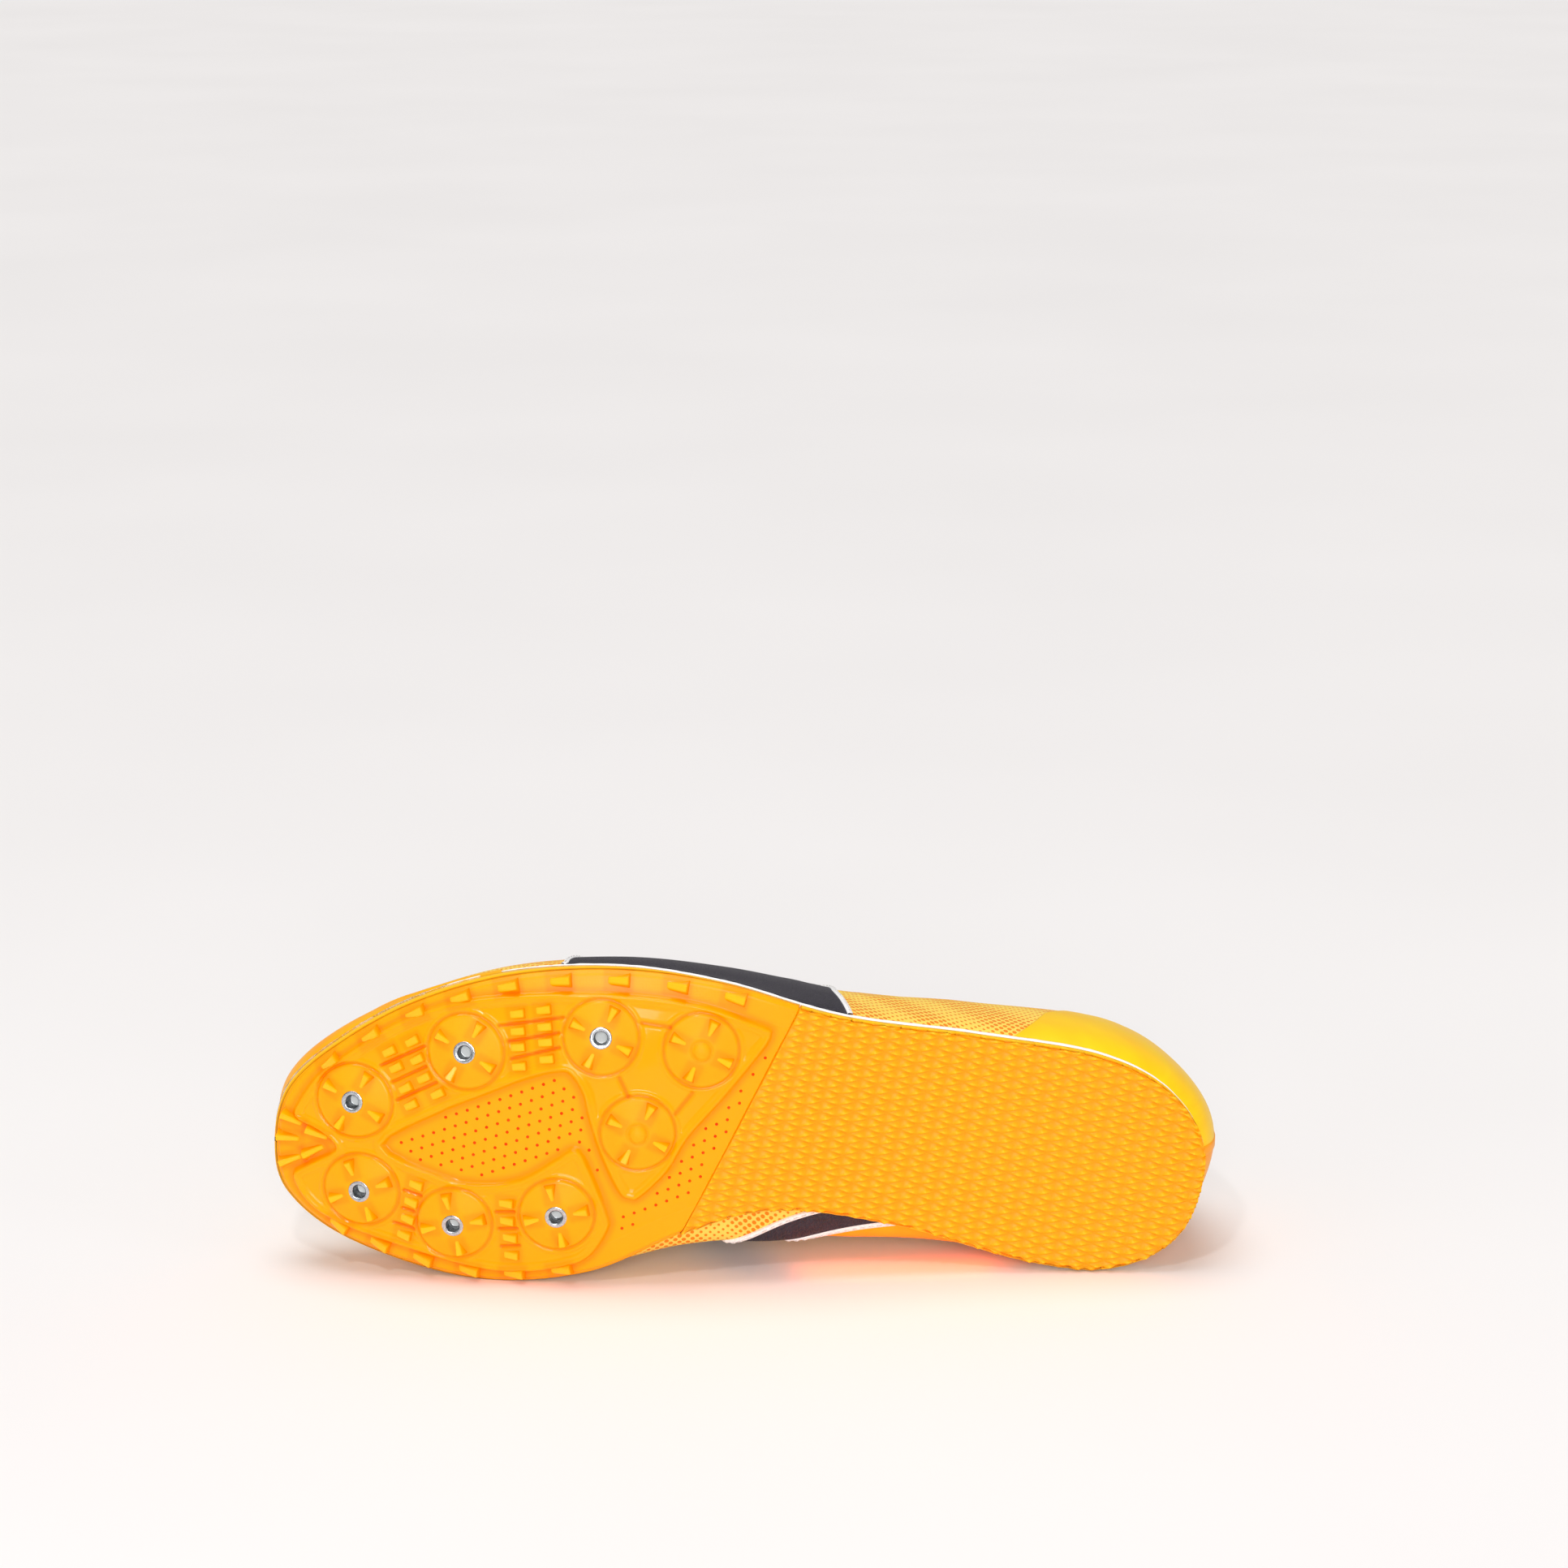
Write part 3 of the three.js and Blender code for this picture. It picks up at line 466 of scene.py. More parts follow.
def dress(tree, shader, colour=None, rough=None, relief=()):
    """Drives the shader's colour, roughness and relief; each relief lies on the one before it."""
    if colour:
        value, stops = colour
        add(tree, "ShaderNodeValToRGB", {"Fac": value}, to=shader.inputs["Base Color"], stops=stops)
    if rough:
        value, low, high = rough
        span = {"Value": value, "To Min": low, "To Max": high}
        add(tree, "ShaderNodeMapRange", span, to=shader.inputs["Roughness"])
    below = {}
    for height, distance, strength in relief:
        shape = {"Height": height, "Distance": distance, "Strength": strength, **below}
        bump = add(tree, "ShaderNodeBump", shape, to=shader.inputs["Normal"])
        below = {"Normal": bump.outputs["Normal"]}


def speckled(name, noise, stops, rough=None, relief=None, cloth=False, **sockets):
    """Material whose colour, roughness and relief follow one fine noise."""
    material, tree, shader, place = start_material(name, cloth, **sockets)
    fleck = add(tree, "ShaderNodeTexNoise", {"Vector": place, **noise}).outputs["Fac"]
    reliefs = ((fleck, *relief),) if relief else ()
    dress(tree, shader, (fleck, stops), rough and (fleck, *rough), reliefs)
    return material


def moulded_tpu(looks):
    """Thermoplastic polyurethane, injection moulded: a glossy skin, finely matt where the mould is etched."""
    material, tree, shader, place = start_material(
        "tpu_injection_moulded_gloss",
        IOR=1.46,
        Specular_IOR_Level=0.12,
        Coat_Weight=0.16,
        Coat_Roughness=0.05,
        Subsurface_Weight=0.12,
        Subsurface_Radius=(1.0, 0.35, 0.05),
        Subsurface_Scale=0.0015,
    )
    matt = add(tree, "ShaderNodeAttribute", attribute_name="matt").outputs["Fac"]
    depth = add(tree, "ShaderNodeAttribute", attribute_name="depth").outputs["Fac"]
    # Painted shade and highlight: where the depth mark is low, in recesses and at the feet of blocks, the
    # colour is deeper orange; crests get a lighter yellow
    stops = ((0.0, "#FF7400"), (0.4, "#FF9000"), (0.8, tuple(looks.plate_colour)), (1.0, "#FFBC1C"))
    grain = add(tree, "ShaderNodeTexVoronoi", {"Vector": place, "Scale": 1000 / 0.9, "Randomness": 0.25})
    cloud = add(tree, "ShaderNodeTexNoise", {"Vector": place, "Scale": 60, "Detail": 3.0}).outputs["Fac"]
    span = {"Value": matt, "To Min": 0.07, "To Max": 0.5}
    rough = add(tree, "ShaderNodeMapRange", span, to=shader.inputs["Coat Roughness"]).outputs["Result"]
    mixed = {0: cloud, 1: 0.08, 2: rough}
    add(tree, "ShaderNodeMath", mixed, to=shader.inputs["Roughness"], operation="MULTIPLY_ADD")
    height = add(tree, "ShaderNodeMath", {0: grain.outputs["Distance"], 1: matt}, operation="MULTIPLY")
    dress(tree, shader, (depth, stops), relief=((height.outputs[0], 0.00012, 0.5),))
    return material


def moulded_rubber():
    """Rubber, compression moulded: softer highlights than the plate's, and faint flow marks."""
    material, tree, shader, place = start_material(
        "rubber_compression_moulded",
        IOR=1.52,
        Specular_IOR_Level=0.2,
        Subsurface_Weight=0.1,
        Subsurface_Radius=(1.0, 0.35, 0.05),
        Subsurface_Scale=0.001,
    )
    # Painted shade and highlight: orange between the teeth, lighter yellow on their tops
    depth = add(tree, "ShaderNodeAttribute", attribute_name="depth").outputs["Fac"]
    stops = ((0.0, "#FF9800"), (0.35, "#FFA800"), (0.85, "#FFC018"))
    flow = {"Vector": place, "Scale": 1000 / 3.0, "Detail": 4.0}
    flow = add(tree, "ShaderNodeTexNoise", flow).outputs["Fac"]
    dress(tree, shader, (depth, stops), (flow, 0.32, 0.5), ((flow, 6e-05, 0.3),))
    return material


def pin_hole_painted_shade():
    """Red-orange dots at the plate's pin holes: matt and flat, painted shade that stands in for the holes'
    shaded recesses.
    """
    stops = ((0.3, "#E83A00"), (0.7, "#F85000"))
    return speckled("pin_hole_painted_shade_matt", {"Scale": 400.0}, stops, Roughness=0.6, Specular_IOR_Level=0.1)


def paper_backdrop():
    """Matt backdrop paper: near white, with a very faint cloudiness."""
    stops = ((0.3, "#F3F0EF"), (0.7, "#F6F3F2"))
    return speckled("paper_backdrop_matt", {"Scale": 3.0, "Detail": 2.0}, stops, Roughness=0.7)


def skived_foam():
    """EVA foam, skived from a sheet: bright white with open cells, so that its edge looks a little furry."""
    material, tree, shader, place = start_material(
        "eva_foam_skived", Roughness=0.85, IOR=1.45, Sheen_Weight=0.25, Sheen_Roughness=0.5
    )
    cells = add(tree, "ShaderNodeTexVoronoi", {"Vector": place, "Scale": 1000 / 0.7}).outputs["Distance"]
    fibre = {"Vector": place, "Scale": 1000 / 1.2, "Detail": 5.0}
    fibre = add(tree, "ShaderNodeTexNoise", fibre).outputs["Fac"]
    stops = ((0.0, "#EDE9E6"), (0.5, "#FBFAF8"))
    dress(tree, shader, (cells, stops), relief=((cells, 0.00015, 0.5), (fibre, 0.0002, 0.6)))
    return material


def turned_steel():
    """Steel, turned and nickel plated: bright, with fine scratches from the tool."""
    noise, stops = {"Scale": 1000 / 0.5, "Detail": 3.0}, ((0.3, "#A4A9AE"), (0.7, "#D4D8DC"))
    return speckled(
        "steel_turned_nickel_plated", noise, stops, (0.12, 0.28), (2e-05, 0.3), Metallic=1.0, Roughness=0.18
    )


def oiled_thread():
    """Steel thread with a film of oil: dark between bright crests."""
    noise, stops = {"Scale": 1000 / 1.5, "Detail": 2.0}, ((0.35, "#4A4E52"), (0.65, "#A8ACB0"))
    return speckled(
        "steel_thread_oiled", noise, stops, (0.15, 0.35), (2e-05, 0.3), Metallic=1.0, Roughness=0.22
    )


def blasted_steel_painted_bright():
    """Steel, blasted, for the flat bottom of a spike's bore: its pale finish is coloured near white and
    non-metallic, partly painted light that keeps the deep bottom bright.
    """
    noise, stops = {"Scale": 1000 / 0.4, "Detail": 4.0}, ((0.3, "#EDF2F1"), (0.7, "#FAFCFB"))
    return speckled("steel_blasted_painted_bright", noise, stops, None, (5e-05, 0.5), Metallic=0.0, Roughness=0.5)


def hole_pattern(tree, cloth, pitch_mm):
    """Distance from the middle of each hole of a staggered net. cloth is in millimetres."""
    turned = {"Vector": cloth, "Rotation": (0, 0, math.radians(45)), "Scale": (1 / pitch_mm,) * 3}
    turned = add(tree, "ShaderNodeMapping", turned).outputs["Vector"]
    cells = {"Vector": turned, "Scale": 1.0, "Randomness": 0.12}
    return add(tree, "ShaderNodeTexVoronoi", cells, voronoi_dimensions="2D").outputs["Distance"]


def knitted_mesh(looks):
    """Polyester mesh, warp knitted: pale yellow threads around open holes that show an orange lining."""
    material, tree, shader, cloth = start_material(
        "polyester_mesh_warp_knitted",
        cloth=True,
        Roughness=0.6,
        Specular_IOR_Level=0.25,
        Sheen_Weight=0.06,
        Sheen_Roughness=0.4,
        IOR=1.5,
    )
    distance = hole_pattern(tree, cloth, looks.mesh_pitch * 1000)
    # Holes stand in clusters, with closed bands between them
    wide = add(tree, "ShaderNodeMapping", {"Vector": cloth, "Scale": (0.016, 0.022, 1)}).outputs["Vector"]
    cluster = {"Vector": wide, "Scale": 1.0, "Distortion": 2.5, "Detail": 0.0}
    cluster = add(tree, "ShaderNodeTexWave", cluster, wave_type="BANDS", bands_direction="DIAGONAL")
    size = {"Value": cluster.outputs["Fac"], "From Min": 0.1, "From Max": 0.7, "To Min": 0.22, "To Max": 0.36}
    size = add(tree, "ShaderNodeMapRange", size).outputs["Result"]
    edge = add(tree, "ShaderNodeMath", {0: size, 1: distance}, operation="SUBTRACT").outputs[0]
    hole = {"Value": edge, "From Min": -0.015, "From Max": 0.02}
    hole = add(tree, "ShaderNodeMapRange", hole).outputs["Result"]
    thread = {"Vector": cloth, "Scale": 1.6, "Distortion": 1.2, "Detail": 1.0}
    thread = add(tree, "ShaderNodeTexWave", thread, bands_direction="DIAGONAL").outputs["Fac"]
    stops = ((0.2, "#FFCB3C"), (0.8, tuple(looks.mesh_colour)))
    tint = add(tree, "ShaderNodeValToRGB", {"Fac": thread}, stops=stops).outputs["Color"]
    mixed = {"Factor": hole, 6: tint, 7: (*hex_colour("#F28600"), 1)}
    mixed = add(tree, "ShaderNodeMix", mixed, data_type="RGBA").outputs[2]
    tree.links.new(mixed, shader.inputs["Base Color"])
    sunk = add(tree, "ShaderNodeMath", {0: 1.0, 1: hole}, operation="SUBTRACT").outputs[0]
    dress(tree, shader, relief=((sunk, 0.0005, 0.7), (thread, 0.0001, 0.4)))
    return material


def hot_melt_film(looks, name, colour, shade):
    """Polyurethane film, hot melt: a smooth satin skin over the mesh, with the mesh's ghost in it."""
    material, tree, shader, cloth = start_material(
        name, cloth=True, IOR=1.5, Specular_IOR_Level=0.25, Coat_Weight=0.08, Coat_Roughness=0.25
    )
    ghost = hole_pattern(tree, cloth, looks.mesh_pitch * 1000)
    cloud = add(tree, "ShaderNodeTexNoise", {"Vector": cloth, "Scale": 0.08, "Detail": 3.0}).outputs["Fac"]
    stops = ((0.3, shade), (0.65, colour))
    dress(tree, shader, (cloud, stops), (cloud, 0.36, 0.5), ((ghost, 8e-05, 0.25),))
    return material


def embossed_leather(looks):
    """Synthetic leather, embossed: charcoal with a pebbled grain about a millimetre across."""
    material, tree, shader, cloth = start_material(
        "synthetic_leather_embossed",
        cloth=True,
        IOR=1.5,
        Specular_IOR_Level=0.4,
        Coat_Weight=0.05,
        Coat_Roughness=0.35,
    )
    pebble = add(
        tree,
        "ShaderNodeTexVoronoi",
        {"Vector": cloth, "Scale": 1 / 1.1},
        voronoi_dimensions="2D",
        feature="DISTANCE_TO_EDGE",
    )
    worn = add(tree, "ShaderNodeTexNoise", {"Vector": cloth, "Scale": 0.5, "Detail": 4.0}).outputs["Fac"]
    crown = add(tree, "ShaderNodeMapRange", {"Value": pebble.outputs["Distance"], "From Max": 0.25})
    stops = ((0.3, "#1E1A24"), (0.6, tuple(looks.panel_colour)))
    dress(tree, shader, (worn, stops), (worn, 0.42, 0.6), ((crown.outputs["Result"], 0.00025, 0.7),))
    return material


def coated_strip():
    """Synthetic leather strip, roller coated: clean white with a very fine grain."""
    noise, stops = {"Scale": 2.0, "Detail": 4.0}, ((0.3, "#E6E3E2"), (0.6, "#F8F7F6"))
    return speckled(
        "synthetic_leather_coated_white", noise, stops, (0.4, 0.58), (5e-05, 0.4), cloth=True, IOR=1.5
    )


def brushed_lining(name, colour, shade):
    """Polyester tricot, brushed: soft and matt, with fine ribs along the foot."""
    material, tree, shader, cloth = start_material(
        name, cloth=True, Roughness=0.9, Sheen_Weight=0.35, Sheen_Roughness=0.4
    )
    rib = {"Vector": cloth, "Scale": 0.32, "Distortion": 0.6, "Detail": 2.0}
    rib = add(tree, "ShaderNodeTexWave", rib).outputs["Fac"]
    fluff = add(tree, "ShaderNodeTexNoise", {"Vector": cloth, "Scale": 1.4, "Detail": 5.0}).outputs["Fac"]
    stops = ((0.3, shade), (0.7, colour))
    dress(tree, shader, (fluff, stops), relief=((rib, 0.00015, 0.5), (fluff, 0.0001, 0.4)))
    return material


def woven_lace():
    """Polyester lace, flat woven: white, with slanted picks a millimetre apart."""
    material, tree, shader, cloth = start_material(
        "polyester_lace_flat_woven", cloth=True, Roughness=0.8, Sheen_Weight=0.3, Sheen_Roughness=0.4
    )
    slant = add(tree, "ShaderNodeMapping", {"Vector": cloth, "Rotation": (0, 0, math.radians(35))})
    wave = {"Vector": slant.outputs["Vector"], "Scale": 0.32, "Distortion": 0.3}
    picks = add(tree, "ShaderNodeTexWave", {**wave, "Detail": 1.0}).outputs["Fac"]
    cross = add(tree, "ShaderNodeTexWave", wave, bands_direction="Y").outputs["Fac"]
    weave = add(tree, "ShaderNodeMath", {0: picks, 1: cross}, operation="MULTIPLY").outputs[0]
    stops = ((0.0, "#D9D5D1"), (0.5, "#F7F5F2"))
    dress(tree, shader, (weave, stops), relief=((weave, 0.0003, 0.8),))
    return material


# Mesh making


def make_piece(name, points, faces, material, replaces=(), cloth=None, marks=None):
    """Smooth mesh of points in the shoe's own frame, riding on the frame's one body."""
    mesh = bpy.data.meshes.new(name)
    points = to_row(points)
    # What lies against the floor is pressed flat on it
    points[:, 2] = np.maximum(points[:, 2], 0)
    mesh.from_pydata(points.tolist(), [], faces.tolist() if isinstance(faces, np.ndarray) else faces)
    mesh.shade_smooth()
    if cloth is not None:
        corners = np.zeros(len(mesh.loops), np.int32)
        mesh.loops.foreach_get("vertex_index", corners)
        mesh.uv_layers.new(name="cloth").data.foreach_set(
            "uv", np.asarray(cloth, np.float32).reshape(-1, 2)[corners].ravel()
        )
    for mark, values in (marks or {}).items():
        layer = mesh.attributes.new(mark, "FLOAT", "POINT")
        layer.data.foreach_set("value", np.asarray(values, np.float32).ravel())
    piece = bpy.data.objects.new(name, mesh)
    bpy.context.scene.collection.objects.link(piece)
    mesh.materials.append(material)
    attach(piece, next(iter(FRAME["bodies"])))
    if replaces:
        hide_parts(*replaces)
    return piece


def grid_faces(rows, columns, close_rows=False, close_columns=False, start=0):
    """Quads of a grid of points, from number start on."""
    i = np.arange(rows if close_rows else rows - 1)
    j = np.arange(columns if close_columns else columns - 1)
    i, j = np.meshgrid(i, j, indexing="ij")
    below, right = (i + 1) % rows, (j + 1) % columns
    quads = np.stack([i * columns + j, below * columns + j, below * columns + right, i * columns + right], -1)
    return quads.reshape(-1, 4) + start


def even_rows(start, end, count, inset=0.0):
    """Row numbers that lie evenly along the sole's edge."""
    rows = np.linspace(start, end, 1500)
    run = run_along(sole_edge(rows, inset))
    return np.interp(np.linspace(0, run[-1], count), run, rows)


def ruled_plan(start, end, rows, columns, inset=0.0):
    """Plan grid of the sole from its lateral to its medial edge, between two pairs of edge rows."""
    lateral = sole_edge(even_rows(start[0], end[0], rows, inset), inset)
    medial = sole_edge(even_rows(start[1], end[1], rows, inset), inset)
    across = np.linspace(0, 1, columns)[None, :, None]
    return lateral[:, None] * (1 - across) + medial[:, None] * across


def closed_curve(points, steps):
    """Smooth closed line through points."""
    points = np.asarray(points, float)
    t = np.arange(0, len(points), 1 / steps)
    i = np.floor(t).astype(int)
    near = [points[(i + k) % len(points)] for k in (-1, 0, 1, 2)]
    return hermite(near, (t - i)[:, None])


def outline_distance(x, y, outline):
    """Distance to a closed line, positive inside it."""
    flat = np.stack([x.ravel(), y.ravel()], -1)
    a, b = outline, np.roll(outline, -1, axis=0)
    run = b - a
    size = (run**2).sum(1)
    result = np.empty(len(flat))
    for first in range(0, len(flat), 8000):
        p = flat[first : first + 8000, None]
        t = np.clip(((p - a) * run).sum(-1) / size, 0, 1)
        gap = np.hypot(*np.moveaxis(p - a - t[..., None] * run, -1, 0)).min(1)
        crosses = (a[:, 1] > p[..., 1]) != (b[:, 1] > p[..., 1])
        with np.errstate(divide="ignore", invalid="ignore"):
            at = a[:, 0] + (p[..., 1] - a[:, 1]) * run[:, 0] / run[:, 1]
        inside = (crosses & (p[..., 0] < at)).sum(1) % 2 == 1
        result[first : first + 8000] = np.where(inside, gap, -gap)
    return result.reshape(x.shape)


def rim_distance(x, y, count=400, inset=0.0):
    """Distance to the sole's edge, or to a line inside it by inset."""
    return outline_distance(x, y, sole_edge(np.linspace(0, HEEL_ROW, count, endpoint=False), inset))


def lobe_distance(x, y):
    """Distance to the outline of the raised lobes, positive inside it."""
    outline = closed_curve([(a * LENGTH, b * BALL_WIDTH) for a, b in LOBE_OUTLINE], 4)
    return outline_distance(x, y, outline)


def outward_points(x, y, height):
    """Points at a height out of the sole's underside, from its reference surface."""
    out = unit(np.stack([*sole_slopes(x, y), -np.ones(x.shape)], -1))
    return np.stack([x, y, sole_level(x, y)], -1) + out * height[..., None]


# Relief of the plate's underside, heights out of the reference surface


def slot_depth(x, y, a, b, half):
    """1 inside a groove with round ends, 0 outside."""
    a, b = np.array(a, float), np.array(b, float)
    run = b - a
    t = np.clip(((x - a[0]) * run[0] + (y - a[1]) * run[1]) / (run @ run), 0, 1)
    gap = np.hypot(x - a[0] - t * run[0], y - a[1] - t * run[1])
    return smoothstep(half - gap, -0.25, 0.35)


# Small cleats between the pads, and the grooves beside them: places in millimetres along and across
CLEAT_GROUPS = (
    (
        28,
        (
            (242.6, 35.4),
            (249.6, 31.8),
            (241.2, 30.0),
            (247.6, 27.1),
            (239.2, 24.5),
            (244.8, 21.0),
            (235.1, 19.9),
            (243.2, 15.9),
        ),
    ),
    (
        8,
        (
            (210.8, 45.4),
            (202.9, 46.8),
            (210.7, 40.2),
            (202.6, 41.8),
            (210.7, 35.4),
            (202.4, 37.2),
            (210.4, 29.6),
            (202.1, 32.1),
        ),
    ),
    (-12, ((241.9, -9.3), (243.5, -15.0), (244.6, -20.6), (245.8, -26.1))),
    (0, ((214.7, -13.5), (214.4, -19.2), (213.5, -24.7), (213.1, -30.5))),
)
GROOVES = (
    (252.1, 27.5, 238.8, 34.3), (248.6, 22.7, 238.5, 28.1), (247.3, 17.2, 235.4, 23.4),
    (216.2, 41.7, 196.8, 44.8), (213.3, 37.1, 198.1, 40.2), (212.6, 31.9, 198.1, 35.8),
    (245.6, -11.3, 240.3, -12.8), (246.0, -17.2, 242.6, -18.1), (248.9, -22.2, 242.7, -23.8),
    (217.6, -16.5, 212.1, -16.2), (216.7, -22.0, 211.3, -21.6), (216.1, -27.8, 210.6, -27.3),
)
BARS = ((173.3, 43.5, 164.7, 42.3), (180.2, 26.9, 177.6, 21.3), (158.1, 22.3, 163.3, 15.8))
# Pin holes stand on this lattice, at a first place and two steps
HOLE_START, HOLE_STEP_A, HOLE_STEP_B = (135.9, 32.6), (3.3, -1.3), (0.4, -3.8)
HOLE_RADIUS = 0.48
PAD_GROOVE, PAD_LIP = 11.5, 12.9
# Plate and tread stand this far out of the midsole's foot, so no gap shows between them
RIM_PROUD = 0.35
PLATE_GRID, TREAD_GRID = (400, 236), (430, 200)


def plate_relief(x, y, looks):
    """Height, how matt the skin is, and how open it lies to the light, over the whole plate."""
    inside, rim = lobe_distance(x, y), rim_distance(x, y, 500)
    pads = [(share * LENGTH, across * BALL_WIDTH, turn, socket) for share, across, turn, socket in PADS]
    nearest = np.min([np.hypot(x - px, y - py) for px, py, _, _ in pads], axis=0)
    height = -FIELD_LEVEL + LOBE_RAISE * smoothstep(inside, -0.7, 0.6)
    # Inside its border band each lobe is a little lower, and the band runs around the pads
    height = height - 0.4 * smoothstep(inside, 2.5, 3.1) * smoothstep(nearest, PAD_LIP - 0.4, PAD_LIP + 0.4)
    height = height + 0.4 * np.exp(-(((inside - 0.9) / 0.65) ** 2))
    # Painted shade: the colour darkens in a band at the foot of each lobe's border, and in the grooves, bars
    # and pad grooves below
    depth = 1 - 0.4 * np.exp(-(((inside + 0.9) / 1.1) ** 2))
    for x0, y0, x1, y1 in GROOVES:
        slot = 0.75 * slot_depth(x, y, (x0, y0), (x1, y1), 0.5)
        height, depth = height - slot, depth - slot
    for x0, y0, x1, y1 in BARS:
        height = height - 0.55 * slot_depth(x, y, (x0, y0), (x1, y1), 0.75)
        depth = depth - 0.6 * slot_depth(x, y, (x0, y0), (x1, y1), 0.6)
    matt = 0.55 * smoothstep(-inside, 0.4, 1.0) * smoothstep(7.6 - rim, -0.5, 0.5)
    for px, py, turn, socket in pads:
        r = np.hypot(x - px, y - py)
        crown = (
            PAD_EDGE_HEIGHT
            + (PAD_HEIGHT - PAD_EDGE_HEIGHT) * smoothstep(PAD_RADIUS - r, -1.5, PAD_RADIUS - 3.6)
        )
        height = np.where(r < PAD_GROOVE, crown, height)
        height = height - 0.6 * np.exp(-(((r - PAD_GROOVE) / 0.42) ** 2))
        depth = depth - 0.5 * np.exp(-(((r - PAD_GROOVE) / 0.5) ** 2))
        matt = np.maximum(matt, smoothstep(PAD_GROOVE - 0.8 - r, 0, 0.6))
        if socket:
            height = np.where(r < SOCKET_RADIUS - 0.5, -2.6, height)
        else:
            ball = PAD_HEIGHT + 1.5 * np.sqrt(np.clip(1 - (r / (DOME_RADIUS + 0.2)) ** 2, 0, 1))
            height = (
                np.where(r < DOME_RADIUS + 0.2, ball, height)
                - 0.5 * np.exp(-(((r - DOME_RADIUS - 0.5) / 0.3) ** 2))
            )
    # The plate's rim is rounded off
    height = height - 1.3 * (1 - np.clip(rim / 1.7, 0, 1)) ** 2.2
    # Painted shade: around the foot of each block the colour darkens; the skin's height stays as it is
    for x0, y0, degrees, _, form in stud_places(looks):
        turn = math.radians(degrees)
        u = np.abs((x - x0) * math.cos(turn) + (y - y0) * math.sin(turn)) - np.abs(form[0][:, 0]).max()
        v = np.abs((y - y0) * math.cos(turn) - (x - x0) * math.sin(turn)) - np.abs(form[0][:, 1]).max()
        gap = np.hypot(np.maximum(u, 0), np.maximum(v, 0))
        depth = depth - 0.3 * np.exp(-((gap / 0.9) ** 2))
    return height, matt, np.clip(depth, 0, 1) * 0.8


# The tread's teeth stand on a lattice with these two steps, from this place
TOOTH_STEP_A, TOOTH_STEP_B, TOOTH_START_X = (0.78, -3.47), (-4.79, -2.08), 80.0


def tread_relief(x, y):
    """Rows of V-shaped teeth, each a stretched diamond with two horns and steep lower sides."""
    step_a, step_b = np.array(TOOTH_STEP_A), np.array(TOOTH_STEP_B)
    wide, tall = 2 * step_b - step_a, step_a
    lattice = np.linalg.inv(np.stack([step_a, step_b], 1))
    place = np.stack([x - TOOTH_START_X, y], -1)
    cell = place @ lattice.T
    best = np.zeros(x.shape)
    half_wide, half_tall = np.linalg.norm(wide) / 2, np.linalg.norm(tall) / 2
    lengthwise = wide / np.linalg.norm(wide)
    sideways = np.array([-lengthwise[1], lengthwise[0]])
    if sideways[1] < 0:
        sideways = -sideways
    for i in (0, 1):
        for j in (0, 1):
            corner = (np.floor(cell) + np.array([i, j])) @ np.stack([step_a, step_b], 0)
            offset = place - corner
            p = np.abs(offset @ lengthwise) / half_wide
            q = offset @ sideways / half_tall
            room = 1 - p
            horn = np.where(p < 0.40, 0.22 + 0.78 * (p / 0.40) ** 1.4, room / 0.60)
            peak = -0.5 * room
            up = (room - q) / np.maximum(room - peak, 1e-6)
            down = (q + room) / np.maximum(peak + room, 1e-6)
            best = np.maximum(best, np.where(room > 0, horn * np.clip(np.minimum(up, down), 0, 1), 0))
    return best


def stud(length, near_width, far_width, low, high, crest):
    """Faceted block with bevelled edges, which widens and climbs from its near end to its far one."""
    a, n, f = length / 2, near_width / 2, far_width / 2
    form = bmesh.new()
    base = [form.verts.new(p) for p in ((-a, -n, -0.8), (-a, n, -0.8), (a, f, -0.8), (a, -f, -0.8))]
    near, far = 0.13 * length, 0.1 * length
    top = [
        form.verts.new(p)
        for p in (
            (near - a, -n * crest, low),
            (near - a, n * crest, low),
            (a - far, f * crest, high),
            (a - far, -f * crest, high),
        )
    ]
    form.faces.new(top[::-1])
    form.faces.new(base)
    for k in range(4):
        form.faces.new((base[k], top[k], top[(k + 1) % 4], base[(k + 1) % 4])[::-1])
    sharp = [edge for edge in form.edges if any(v in top for v in edge.verts)]
    bmesh.ops.bevel(form, geom=sharp, offset=0.17, segments=2, affect="EDGES")
    bmesh.ops.recalc_face_normals(form, faces=form.faces)
    form.verts.index_update()
    points, faces = np.array([v.co[:] for v in form.verts]), [
        [v.index for v in face.verts] for face in form.faces
    ]
    form.free()
    return points, faces


